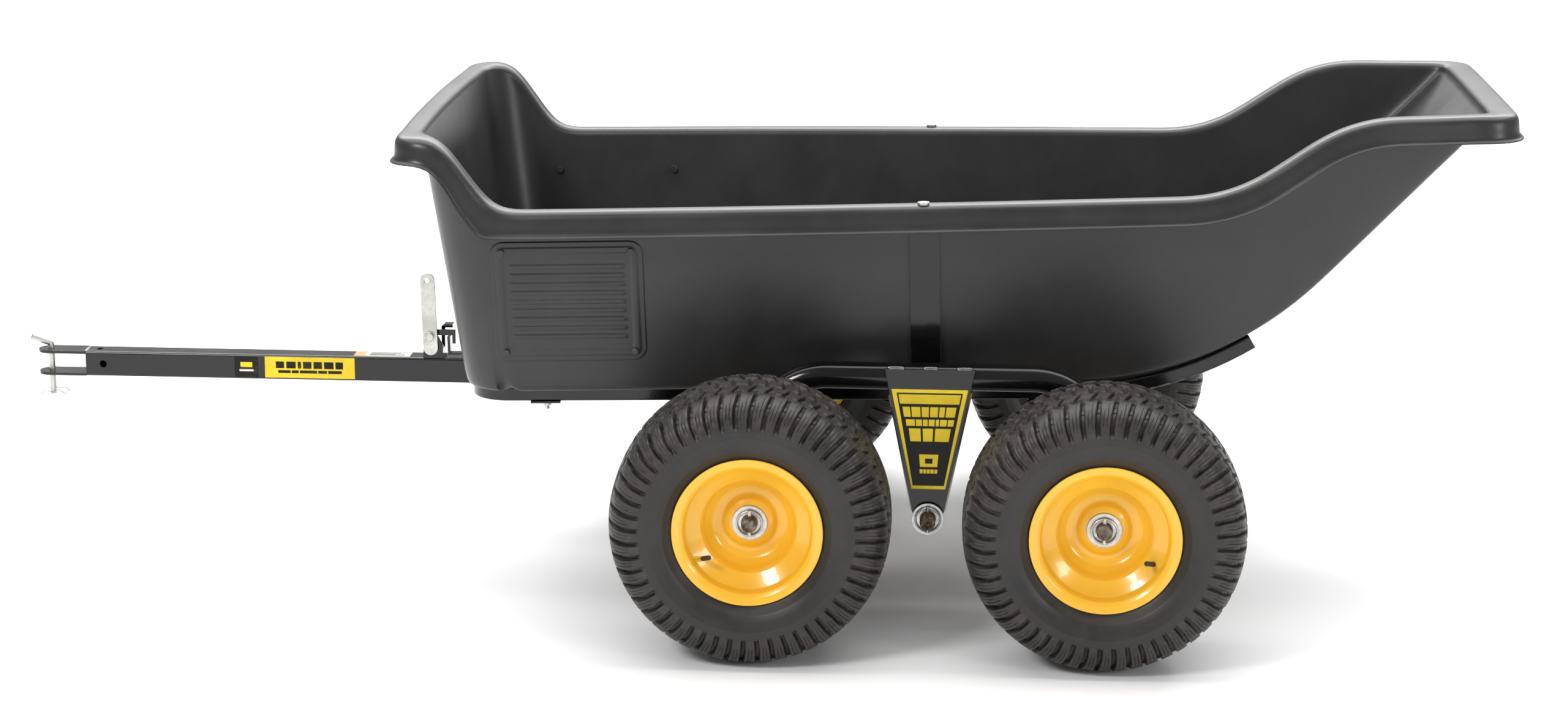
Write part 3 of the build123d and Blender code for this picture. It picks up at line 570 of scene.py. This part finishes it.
def tub_rows(around, middle, share, inset, blend, rows):
    """Each column's points from the centre line out to its share, close together where the
    profile bends: evenly spaced in length plus 60 mm for each radian of turn."""
    t = np.linspace(0, 1, 900)[None, :] * share[:, None]
    spots = middle[:, None, :] + (around - middle)[:, None, :] * t[..., None]
    z = tub_height(spots[..., 0], spots[..., 1], inset, blend)
    out = np.linalg.norm(spots - middle[:, None, :], axis=2)
    run, climb = np.diff(out, axis=1), np.diff(z, axis=1)
    turn = np.abs(np.diff(np.arctan2(climb, run), axis=1, prepend=0))
    weight = np.cumsum(np.hypot(run, climb) + 60 * turn, axis=1)
    weight = np.hstack([np.zeros((len(t), 1)), weight])
    want = np.linspace(0, 1, rows)
    kept = np.array([np.interp(want * w[-1], w, s) for w, s in zip(weight, t)])
    spots = middle[:, None, :] + (around - middle)[:, None, :] * kept[..., None]
    z = tub_height(spots[..., 0], spots[..., 1], inset, blend)
    return np.concatenate([spots, z[..., None]], axis=2)


RIM_SECTION = [
    (0.6, -7.5), (2.6, -4.0), (6.0, -1.5), (10.5, -0.3), (18, 0), (27, 0), (35, -0.3), (40.5, -1.6),
    (44.6, -4.8), (46.8, -9), (48.0, -14), (48.8, -24), (49.6, -32), (50.6, -36.4), (53.0, -39.2),
    (55.6, -40.4), (56, -41.4), (55.6, -42.4), (52.6, -42.6), (49.0, -41.0), (46.6, -38.0), (45.2, -33),
    (43.8, -24), (42.4, -14.5), (39.6, -9), (34, -6.2), (22, -5.4), (11, -5.6), (7.2, -7.4), (5.2, -11),
]
RIM_FULL = 56.0
RIM_AT_SIDE, RIM_AT_FRONT, RIM_AT_REAR = 54.0, 48.6, 57.0
RIM_CORNER_R = 60.0


def rim_reach(out, width_side, width_end, inner_r, outer_r):
    """How far the rim stands out along each column's direction, where the inside corner
    has one radius and the outside corner another: the ray meets the outside corner's
    circle, or the straight outside line before or after it."""
    nx, ny = np.abs(out[:, 0]), np.abs(out[:, 1])
    cx, cy = width_end + inner_r - outer_r, width_side + inner_r - outer_r
    wx, wy = inner_r * nx - cx, inner_r * ny - cy
    along = wx * nx + wy * ny
    arc = -along + np.sqrt(np.maximum(along**2 - wx**2 - wy**2 + outer_r**2, 0))
    to_side = (width_side + inner_r * (1 - ny)) / np.maximum(ny, 1e-6)
    to_end = (width_end + inner_r * (1 - nx)) / np.maximum(nx, 1e-6)
    on_arc = (wx + arc * nx > 0) & (wy + arc * ny > 0)
    return np.where(on_arc, arc, np.minimum(to_side, to_end))


def evened(rows, passes):
    """Each value averaged with its neighbours round the rim, a quarter each side."""
    for _ in range(passes):
        rows = (np.roll(rows, 1, axis=0) + 2 * rows + np.roll(rows, -1, axis=0)) / 4
    return rows


def tub_skin():
    """Inside, rim and outside as one closed surface: columns round the rim, rows out from
    the centre line, over the rim's section and back under the floor. Each rim point takes
    its height from the rim line at its own place."""
    around, middle = tub_outline()
    inner_share = where_high(around, middle, WALL, INNER_BLEND, INNER_DROP)
    outer_share = where_high(around, middle, 0.0, OUTER_BLEND, OUTER_DROP)
    inner = tub_rows(around, middle, inner_share, WALL, INNER_BLEND, INNER_ROWS)
    outer = tub_rows(around, middle, outer_share, 0.0, OUTER_BLEND, OUTER_ROWS)[:, ::-1]
    edge = evened(inner[:, -1], 4)
    along = evened(np.roll(edge, -1, axis=0) - np.roll(edge, 1, axis=0), 3)
    out = np.stack([along[:, 1], -along[:, 0]], 1)
    out /= np.linalg.norm(out, axis=1)[:, None]
    out *= np.sign((out * (around - middle)).sum(1))[:, None]
    front_width = rim_reach(out, RIM_AT_SIDE, RIM_AT_FRONT, CORNER_R - WALL, RIM_CORNER_R)
    rear_width = rim_reach(out, RIM_AT_SIDE, RIM_AT_REAR, REAR_CORNER_R, RIM_CORNER_R)
    width = evened(np.where(out[:, 0] < 0, front_width, rear_width), 3)
    section = np.array(RIM_SECTION)
    reach = section[None, :, 0] * (width / RIM_FULL)[:, None]
    plan = edge[:, None, :2] + out[:, None, :] * reach[..., None]
    rise = section[None, :, 1] * np.sqrt(1 + rim_slope(plan[..., 0]) ** 2)
    rim = np.concatenate([plan, (rim_height(plan[..., 0]) + rise)[..., None]], axis=2)
    points = evened(np.concatenate([inner, rim, outer], axis=1), 5)
    points[:, 0, 1] = points[:, -1, 1] = 0.0
    for pole in (0, -1):
        at_front, at_rear = middle[:, 0] <= FRONT_POLE, middle[:, 0] >= REAR_POLE
        points[at_front, pole] = points[at_front, pole].mean(axis=0)
        points[at_rear, pole] = points[at_rear, pole].mean(axis=0)
        line = points[:, pole]
        points[:, pole] = (line + line[(-np.arange(len(line))) % len(line)]) / 2
    faces = grid_faces(len(points), points.shape[1], wrap_columns=True)
    return from_tub(points), faces


points, faces = tub_skin()
tub_finish = [MATERIALS["tub_plastic"]]
piece("tub_skin", points, faces, "tub", tub_finish, ["tub_shell"], smooth=60)


# ---- side panels: a raised rounded frame round level ribs -----------------------------------
PANEL_X, PANEL_Z = -585.0, 547.0
PANEL_HALF_X, PANEL_HALF_Z, PANEL_CORNER_R = 125.0, 103.0, 22.0
RIB_PITCH = 15.0


def inside_box(x, z, half_x, half_z, corner):
    """Distance in from the edge of a rounded rectangle, less than nought outside it."""
    qx, qz = np.abs(x) - half_x + corner, np.abs(z) - half_z + corner
    outside = np.hypot(np.maximum(qx, 0), np.maximum(qz, 0)) + np.minimum(np.maximum(qx, qz), 0)
    return corner - outside


def climb(depth, low, high):
    """0 up to the low depth, 1 from the high depth, straight between."""
    return np.clip((depth - low) / (high - low), 0, 1)


def panel_grid():
    """Rows up the panel, each as wide as the rounded outline there; height off the wall is
    a plate, a raised frame near the edge and level ribs inside the frame."""
    half_x, half_z, corner = PANEL_HALF_X, PANEL_HALF_Z, PANEL_CORNER_R
    v = np.linspace(-1, 1, 181)
    z = half_z * np.sin(v * math.pi / 2) * 0.3 + half_z * v * 0.7
    over = np.maximum(np.abs(z) - half_z + corner, 0)
    reach = half_x - corner + np.sqrt(corner**2 - over**2)
    u = np.linspace(-1, 1, 90)
    u = 0.55 * u + 0.45 * np.sin(u * math.pi / 2)
    x = reach[None, :] * u[:, None]
    z = np.broadcast_to(z[None, :], x.shape)
    depth = inside_box(x, z, half_x, half_z, corner)
    frame_up = 1.6 * (climb(depth, 9, 11) - climb(depth, 19, 21))
    waves = np.clip(1.9 * np.cos(z * 2 * math.pi / RIB_PITCH) + 0.2, 0, 1)
    ribs = waves * 1.3 * climb(depth, 30, 34)
    lift = 1.7 * np.clip(depth / 1.6, 0.15, 1) ** 0.5 + frame_up * 0.8 + ribs * 0.8
    return x + PANEL_X, z + PANEL_Z, np.minimum(lift, 3.0)


def panel(side):
    """A side panel: the relief, a flat back a hair off the tub's wall, and a closed edge."""
    x, z, lift = panel_grid()
    wall = side_half(x) + DRAFT * (z - FLOOR_Z)
    front = np.stack([x, wall + 0.3 + lift, z], -1)
    back = np.stack([x, wall + 0.3 + 0 * lift, z], -1)
    columns, rows = x.shape
    faces = grid_faces(columns, rows)
    first, top = np.arange(rows), np.arange(1, columns) * rows + rows - 1
    last = (columns - 1) * rows + np.arange(rows - 2, -1, -1)
    bottom = np.arange(columns - 2, 0, -1) * rows
    ring = np.concatenate([first, top, last, bottom])
    after = np.roll(ring, -1)
    count = columns * rows
    walls = np.stack([ring, after, after + count, ring + count], 1)
    points = mirrored(np.concatenate([front.reshape(-1, 3), back.reshape(-1, 3)]), side)
    return from_tub(points), np.concatenate([faces, faces[:, ::-1] + count, walls])


for side_name, side in SIDES.items():
    points, faces = panel(side)
    name = f"side_panel_{side_name}"
    piece(name, points, faces, "tub", tub_finish, ["side_panels"], smooth=30)


# ---- tyres ----------------------------------------------------------------------------------
LUGS = 52
TYRE_LINE = [
    (225, 0), (224.7, 22), (223.6, 44), (221.2, 62), (217.4, 77), (211.5, 89), (204, 97.5), (194, 103),
    (182, 106.4), (168, 107.8), (152, 106.2), (138, 101.4), (128.5, 93.5), (122.5, 86.5), (114, 82.2),
    (105.5, 79.5), (103.6, 71), (103.2, 62), (110, 66), (124, 80), (140, 92), (165, 97), (196, 92),
    (209, 78), (212, 50), (213, 0),
]
TREAD_END = 137.0
SIDEWALL_RINGS = (150.3, 176.1)
ACROSS = [
    0, 8, 15, 17.5, 20, 22, 24, 26.5, 30, 40, 48, 51, 53.5, 56, 58.5, 61, 65, 72, 80, 88, 95, 101, 106,
    112, 118, 123, 128, 132, 135.5, 138.5, 143, 148, 149.6, 151, 152.4, 158, 164, 170, 174, 175.4,
    176.8, 178.2, 184, 190,
]
LUG_PHASES = [0, 0.10, 0.15, 0.19, 0.30, 0.365, 0.38, 0.415, 0.5, 0.585, 0.62, 0.635, 0.70, 0.81, 0.85, 0.90]


def zigzag(phase):
    """A triangle wave between -1 and 1."""
    return 4 * np.abs(phase - np.floor(phase) - 0.5) - 1


def groove(distance, half, wall):
    """1 within half of the middle line, falling straight to 0 over the wall."""
    return np.clip((half + wall - np.abs(distance)) / wall, 0, 1)


def tread_depth(phase, across):
    """How deep the tread is cut, in millimetres: two zigzag grooves round the tyre, gaps
    between the blocks that shift by half a pitch from row to row, and a bent sipe on each
    shoulder lug."""
    a = np.abs(across)
    turns = phase - np.floor(phase)
    to_gap = np.minimum(turns, 1 - turns)
    inner = groove(a - (21 + 3.6 * zigzag(phase)), 1.5, 1.6) * 5.5
    outer = groove(a - (56 + 4.2 * zigzag(phase + 0.5)), 1.6, 1.8) * 6.0
    middle = groove(to_gap, 0.07, 0.05) * 6.0 * (a < 21)
    between = groove(turns - 0.5, 0.085, 0.045) * 6.5 * ((a >= 21) & (a < 56))
    fade = np.clip((TREAD_END - a) / 6.0, 0, 1)
    shoulder = groove(to_gap, 0.10 + 0.04 * np.clip((a - 80) / 40, 0, 1), 0.05) * 9.0 * fade * (a >= 56)
    long_leg = (np.abs(turns - 0.38) < 0.012) & (a > 72) & (a < 122)
    short_leg = (np.abs(turns - 0.62) < 0.012) & (a > 94) & (a < 122)
    foot = (np.abs(a - 118) < 1) & (turns > 0.37) & (turns < 0.63)
    top_bar = (np.abs(a - 95) < 1) & (turns > 0.49) & (turns < 0.63)
    sipes = (long_leg | short_leg | foot | top_bar) * 1.5
    return np.maximum.reduce([inner, outer, middle, between, shoulder, sipes])


def slant(across):
    """How far round, in lug pitches, the pattern has moved at this place across the tyre."""
    a = np.abs(across)
    return 0.30 * np.clip((a - 58) / 60, 0, 1) + 0.5 * np.clip((a - 20) / 36, 0, 1)


def tyre(centre, side, facing):
    """A closed ring: the section's points pushed in along its normal by the tread's depth,
    carried round the axle. The columns lean with the lugs. Two fine moulded rings stand up
    from the sidewall."""
    half = flowing(TYRE_LINE, 14)
    outside_rows = np.array(ACROSS)
    inside_rows = np.linspace(198, lengths(half)[-1], 13)
    where = np.concatenate([outside_rows, inside_rows])
    section = at_lengths(half, where)
    ahead, behind = at_lengths(half, where + 1.5), at_lengths(half, np.maximum(where - 1.5, 0))
    tangent = ahead - behind
    tangent /= np.linalg.norm(tangent, axis=1)[:, None]
    normal = np.stack([tangent[:, 1], -tangent[:, 0]], 1)
    across = np.concatenate([-where[:0:-1], where[:-1]])
    radius = np.concatenate([section[:0:-1, 0], section[:-1, 0]])
    width = np.concatenate([-section[:0:-1, 1], section[:-1, 1]])
    normal_r = np.concatenate([normal[:0:-1, 0], normal[:-1, 0]])
    normal_y = np.concatenate([-normal[:0:-1, 1], normal[:-1, 1]])
    phase = (np.arange(LUGS)[:, None] + np.array(LUG_PHASES)[None, :]).reshape(-1, 1)
    lean = slant(across)[None, :]
    depth = tread_depth(phase, across[None, :]) * (np.abs(across) < TREAD_END + 3)
    rings = sum(0.55 * np.clip(1 - np.abs(np.abs(across) - at) / 1.4, 0, 1) for at in SIDEWALL_RINGS)
    push = rings[None, :] - depth
    angle = (phase + lean * facing) * 2 * math.pi / LUGS * facing
    r = radius[None, :] + normal_r[None, :] * push
    y = width[None, :] + normal_y[None, :] * push
    x, z = centre[0] + r * np.cos(angle), centre[1] + r * np.sin(angle)
    points = np.stack([x, side * TRACK_HALF + y, z], -1)
    on_tread = np.broadcast_to((np.abs(across) < TREAD_END)[None, :], depth.shape)
    shade = np.where(on_tread, 0.55 + 0.45 * np.clip(depth / 4, 0, 1), 0.0)
    return from_axle(points), grid_faces(len(phase), len(across), True, True), shade


RIM_LINE_CLOSED = [
    (120.0, 86.2), (120.0, 89.0), (116.5, 89.0), (108.5, 87.6), (102.2, 82.5), (99.8, 66.3),
    (90.0, 59.6), (76.5, 51.0), (73.6, 46.0), (70.6, 31.0), (60.5, 20.0), (51.0, 16.6), (44.0, 17.2),
    (37.5, 23.2), (31.0, 26.4), (21.4, 26.4), (21.4, 21.0), (34.0, 21.0), (42.5, 13.6), (60.0, 15.0),
    (74.0, 27.0), (75.0, 24.0), (75.0, -48.0), (98.6, -61.0), (99.6, -87.0), (120.0, -89.0),
    (120.0, -86.0), (103.8, -83.5), (101.6, -64.0), (78.0, -50.0), (78.0, 48.0), (101.6, 63.6),
    (103.8, 83.4),
]
RIM_RADII = [
    0.8, 1.4, 2.5, 7.0, 4.5, 4.0, 12.0, 4.0, 5.0, 16.0, 16.0, 10.0, 7.0, 5.0, 4.5, 1.2, 0, 6.0, 8.0,
    16.0, 2.0, 2.0, 6.0, 6.0, 4.0, 1.4, 1.0, 4.0, 4.0, 6.0, 6.0, 4.0, 4.0,
]


def wheel_rim(centre, side, columns=200):
    """The wheel's closed section, corners rounded, carried round the axle."""
    line = rounded(RIM_LINE_CLOSED, RIM_RADII, 6, closed=True)
    angle = np.linspace(0, 2 * math.pi, columns, endpoint=False)[:, None]
    r, y = line[None, :, 0], side * (TRACK_HALF + line[None, :, 1])
    points = np.stack([centre[0] + r * np.cos(angle), y + 0 * angle, centre[1] + r * np.sin(angle)], -1)
    return from_axle(points), grid_faces(columns, len(line), True, True)


def weld_bead(path, radius, ripple=3.6, sides=10):
    """A bead along a path: a round section whose radius swells at each ripple, pinched to
    nothing at both ends."""
    path = np.array(path, float)
    total = lengths(path)[-1]
    count = max(int(total / 1.1), 8)
    where = np.linspace(0, total, count)
    middle = at_lengths(path, where)
    ahead = np.gradient(middle, axis=0)
    ahead /= np.linalg.norm(ahead, axis=1)[:, None]
    flat = np.cross(ahead, [0.13, 0.37, 0.92])
    flat /= np.linalg.norm(flat, axis=1)[:, None]
    third = np.cross(ahead, flat)
    swell = 1 + 0.13 * np.abs(np.sin(where * math.pi / ripple))
    taper = np.sqrt(np.clip(np.minimum(where, total - where) / radius, 0, 1))
    angle = np.linspace(0, 2 * math.pi, sides, endpoint=False)
    size = (radius * swell * taper)[:, None, None]
    ring = flat[:, None, :] * np.cos(angle)[None, :, None] + third[:, None, :] * np.sin(angle)[None, :, None]
    return middle[:, None, :] + ring * size, grid_faces(count, sides, False, True)


def joined(parts):
    """Several point-and-face sets as one."""
    points, faces, start = [], [], 0
    for some_points, some_faces in parts:
        some_points = np.asarray(some_points, float).reshape(-1, 3)
        points.append(some_points)
        faces.append(some_faces + start)
        start += len(some_points)
    return np.concatenate(points), np.concatenate(faces)


for side_name, side in SIDES.items():
    for end_name, end in ENDS.items():
        centre = (end * WHEEL_SPREAD, TYRE_R)
        body = f"wheel_{end_name}_{side_name}"
        points, faces, shade = tyre(centre, side, -side)
        stands_for = [f"tyre_{end_name}_{side_name}"]
        name = f"tyre_skin_{end_name}_{side_name}"
        made = piece(name, points, faces, body, [MATERIALS["tyre"]], stands_for, smooth=38)
        tread = made.data.attributes.new("tread", "FLOAT", "POINT")
        tread.data.foreach_set("value", shade.astype(np.float32).ravel())
        points, faces = wheel_rim(centre, side)
        stands_for = [f"rim_{end_name}_{side_name}"]
        name, paint = f"wheel_rim_{end_name}_{side_name}", [MATERIALS["wheel_paint"]]
        piece(name, points, faces, body, paint, stands_for, smooth=50)


# ---- labels: plain colour blocks, no lettering ------------------------------------------------
def slab(corners, normal, low, high):
    """A thin closed plate over four corners, between two heights along its normal."""
    corners, normal = np.array(corners, float), np.array(normal, float)
    points = np.concatenate([corners + normal * low, corners + normal * high])
    walls = [[0, 1, 5, 4], [1, 2, 6, 5], [2, 3, 7, 6], [3, 0, 4, 7]]
    return points, np.array([[3, 2, 1, 0], [4, 5, 6, 7]] + walls)


def field_point(corners, u, v):
    """A point of a four-cornered field, by its shares along (u) and down (v)."""
    top_left, top_right, low_right, low_left = np.array(corners, float)
    upper, lower = (1 - u) * top_left + u * top_right, (1 - u) * low_left + u * low_right
    return (1 - v) * upper + v * lower


def within(corners, u0, u1, v0, v1):
    """The four corners of part of a four-cornered field."""
    return [field_point(corners, u, v) for u, v in ((u0, v0), (u1, v0), (u1, v1), (u0, v1))]


STICKER_BACK, BLOCK_BACK = 0.02, 0.22
STICKER_TOP, BLOCK_STEP = 0.25, 0.05


def label(name, body, corners, normal, blocks):
    """A yellow or pale sticker with printed blocks, each block a hair above the last."""
    parts, owners, used = [], [], []
    for rank, (material, u0, u1, v0, v1) in enumerate(blocks):
        if material not in used:
            used.append(material)
        low = STICKER_BACK if rank == 0 else BLOCK_BACK
        high = STICKER_TOP + BLOCK_STEP * rank
        parts.append(slab(within(corners, u0, u1, v0, v1), normal, low, high))
        owners += [used.index(material)] * 6
    points, faces = joined(parts)
    inks = [MATERIALS[material] for material in used]
    piece(name, from_axle(points), faces, body, inks, face_material=owners, smooth=20)


BAR_LENGTHS = (1.0, 0.82, 0.93, 0.7, 0.97)


def rows_of_bars(material, u0, u1, v0, v1, fill):
    """Plain bars one under another, their ends uneven; fill is a bar's share of its row."""
    pitch = (v1 - v0) / len(BAR_LENGTHS)
    bars = []
    for i, share in enumerate(BAR_LENGTHS):
        top = v0 + i * pitch
        bars.append((material, u0, u0 + (u1 - u0) * share, top, v0 + (i + fill) * pitch))
    return bars


def row_of_blocks(material, u0, u1, v0, v1, shares, gap=0.14):
    """A row of upright blocks of the given relative widths, a small gap between them."""
    edges = np.concatenate([[0], np.cumsum(shares)]) / sum(shares)
    space = gap * (u1 - u0) / len(shares)
    ends = u0 + edges * (u1 - u0)
    pairs = zip(ends[:-1], ends[1:])
    return [(material, left + space / 2, right - space / 2, v0, v1) for left, right in pairs]


BRACKET_BLOCKS = [("label_yellow", 0, 1, 0, 1), ("label_black", 0.06, 0.94, 0.035, 0.965)]
BRACKET_BLOCKS += row_of_blocks("label_yellow", 0.08, 0.92, 0.05, 0.145, (1,), 0.0)
BRACKET_BLOCKS += row_of_blocks("label_yellow", 0.10, 0.90, 0.175, 0.275, (1, 1.2, 1, 1.1, 0.8, 1.3))
BRACKET_BLOCKS += row_of_blocks("label_yellow", 0.12, 0.90, 0.30, 0.365, (1.4, 1, 0.8, 1, 0.6, 1.1, 1))
BRACKET_BLOCKS += row_of_blocks("label_yellow", 0.14, 0.88, 0.39, 0.52, (1.1, 1, 1.4))
BRACKET_BLOCKS += [("label_yellow", 0.30, 0.70, 0.65, 0.775), ("label_black", 0.42, 0.58, 0.69, 0.74)]
BRACKET_BLOCKS += row_of_blocks("label_yellow", 0.28, 0.72, 0.80, 0.84, (1, 0.9, 1, 1.1, 1))
for side_name, side in SIDES.items():
    face_y = side * 427.5
    corners = [(-62, face_y, 413), (62, face_y, 413), (27.5, face_y, 246), (-27.5, face_y, 246)]
    label(f"arm_label_{side_name}", f"arm_{side_name}", corners, (0, side, 0), BRACKET_BLOCKS)

BAR_SIDE_Y, BAR_TOP_Z = -22.225, 349.0


def on_bar_side(x0, x1, high=346.0, low=308.0):
    """The corners of a label on the drawbar's left face."""
    return [(x, BAR_SIDE_Y, z) for x, z in ((x0, high), (x1, high), (x1, low), (x0, low))]


long_blocks = [("label_yellow", 0, 1, 0, 1)]
long_blocks += row_of_blocks("label_black", 0.11, 0.88, 0.22, 0.54, (1, 1.1, 0.5, 1, 1, 1.1, 0.9), 0.22)
long_blocks += row_of_blocks("label_black", 0.14, 0.86, 0.64, 0.76, (2.2, 1.3, 3, 1.6, 2.4), 0.12)
label("drawbar_label_long", "chassis", on_bar_side(-1177, -1017), (0, -1, 0), long_blocks)
small_blocks = [("label_black", 0, 1, 0, 1), ("label_yellow", 0.25, 0.75, 0.28, 0.52)]
small_blocks += [("label_pale", 0.2, 0.8, 0.62, 0.72)]
label("drawbar_label_small", "chassis", on_bar_side(-1231, -1189), (0, -1, 0), small_blocks)
top_label = [(-1020, 16, BAR_TOP_Z), (-920, 16, BAR_TOP_Z), (-920, -16, BAR_TOP_Z), (-1020, -16, BAR_TOP_Z)]
top_blocks = [("label_pale", 0, 1, 0, 1), ("label_orange", 0, 0.2, 0, 1)]
top_blocks += rows_of_bars("label_black", 0.27, 0.92, 0.14, 0.9, 0.4)
label("drawbar_label_top", "chassis", top_label, (0, 0, 1), top_blocks)


# ---- welds ------------------------------------------------------------------------------------
ARM_FACE_Y = 424.0
HOOP_R = 19.5  # round the end of each stub axle
weld_finish = [MATERIALS["weld"]]
for side_name, side in SIDES.items():
    beads = []
    for x0, x1 in ((-70, -40), (-12, 14), (42, 70)):
        middle_x = (x0 + x1) / 2
        bracket_top = [(x0, 424.5, 446.6), (middle_x, ARM_FACE_Y, 447.0), (x1, 424.5, 446.6)]
        beads.append(weld_bead(bracket_top, 3.2))
    for end in ENDS.values():
        around = np.linspace(0.15 * math.pi, 0.85 * math.pi, 12)
        x, z = WHEEL_SPREAD - HOOP_R * np.cos(around), TYRE_R + HOOP_R * np.sin(around)
        hoop = np.stack([end * x, np.full(len(around), ARM_FACE_Y), z], 1)
        beads.append(weld_bead(hoop, 2.6))
    points, faces = joined([(mirrored(p, side), f) for p, f in beads])
    name, body = f"arm_welds_{side_name}", f"arm_{side_name}"
    piece(name, from_axle(points), faces, body, weld_finish, smooth=60)

beads = [weld_bead([(-1498.5, -19, 347.6), (-1498.0, 0, 348.4), (-1498.5, 19, 347.6)], 2.4)]
beads.append(weld_bead([(-1498.5, -19, 306.6), (-1498.0, 0, 305.9), (-1498.5, 19, 306.6)], 2.2))
for y in (-1, 1):
    for x0, x1 in ((-48, -18), (16, 48)):
        beads.append(weld_bead([(x0, y * 24.0, 305.6), (x1, y * 24.0, 305.6)], 2.4))
points, faces = joined(beads)
piece("drawbar_welds", from_axle(points), faces, "chassis", weld_finish, smooth=60)


# ---- floor, lights and camera -------------------------------------------------------------------
def floor():
    """A pale flat floor, wide enough to fill the view."""
    mesh = bpy.data.meshes.new("studio_floor")
    mesh.from_pydata([(-40, -20, 0), (40, -20, 0), (40, 60, 0), (-40, 60, 0)], [], [(0, 1, 2, 3)])
    made = bpy.data.objects.new("studio_floor", mesh)
    bpy.context.scene.collection.objects.link(made)
    material = bpy.data.materials.new("pale_floor")
    material.use_nodes = True
    tree = material.node_tree
    shader = tree.nodes["Principled BSDF"]
    patchy = noise(tree, object_place(tree), 1.5, 4.0)
    pale = mix(tree, patchy, (0.90, 0.90, 0.90, 1), (0.93, 0.93, 0.93, 1))
    tree.links.new(pale, shader.inputs["Base Color"])
    shader.inputs["Roughness"].default_value = 0.9
    shader.inputs["Specular IOR Level"].default_value = 0.1
    mesh.materials.append(material)


def area_light(name, place, aim, size, power):
    """A soft rectangular lamp that faces a point."""
    data = bpy.data.lights.new(name, "AREA")
    data.shape, data.size, data.size_y, data.energy = "RECTANGLE", size[0], size[1], power
    lamp = bpy.data.objects.new(name, data)
    lamp.location = place
    lamp.rotation_euler = (Vector(aim) - Vector(place)).to_track_quat("-Z", "Y").to_euler()
    bpy.context.scene.collection.objects.link(lamp)


floor()
area_light("key_lamp", (-2.2, -3.4, 3.2), (0.2, 0, 0.4), (1.3, 1.0), 105)
area_light("fill_lamp", (4.0, -3.4, 1.7), (0.3, 0, 0.4), (1.2, 1.2), 50)
area_light("top_lamp", (0.2, 0.9, 5.0), (0.2, 0.3, 0.0), (9.0, 5.0), 480)
area_light("back_lamp", (0.5, 7.5, 5.0), (0.2, 5.0, 0.0), (12.0, 4.0), 900)
world = bpy.data.worlds.new("studio")
world.use_nodes = True
world.node_tree.nodes["Background"].inputs[0].default_value = (1.0, 1.0, 1.0, 1)
world.node_tree.nodes["Background"].inputs[1].default_value = 0.38
bpy.context.scene.world = world
bpy.context.scene.view_settings.view_transform = "Standard"

CAMERA_PLACE = (0.39218, -5.49356, 1.70377)
YAW, PITCH, ROLL = 0.0603917, 0.2381544, 0.0049160
ahead = Vector((-math.sin(YAW) * math.cos(PITCH), math.cos(YAW) * math.cos(PITCH), -math.sin(PITCH)))
level = ahead.cross(Vector((0, 0, 1))).normalized()
rise = level.cross(ahead)
right = level * math.cos(ROLL) + rise * math.sin(ROLL)
top = rise * math.cos(ROLL) - level * math.sin(ROLL)
lens = bpy.data.cameras.new("camera")
lens.lens = 74.31
lens.sensor_width = 36.0
lens.clip_end = 200
camera = bpy.data.objects.new("camera", lens)
camera.matrix_world = Matrix.Translation(CAMERA_PLACE) @ Matrix((right, top, -ahead)).transposed().to_4x4()
bpy.context.scene.collection.objects.link(camera)
bpy.context.scene.camera = camera
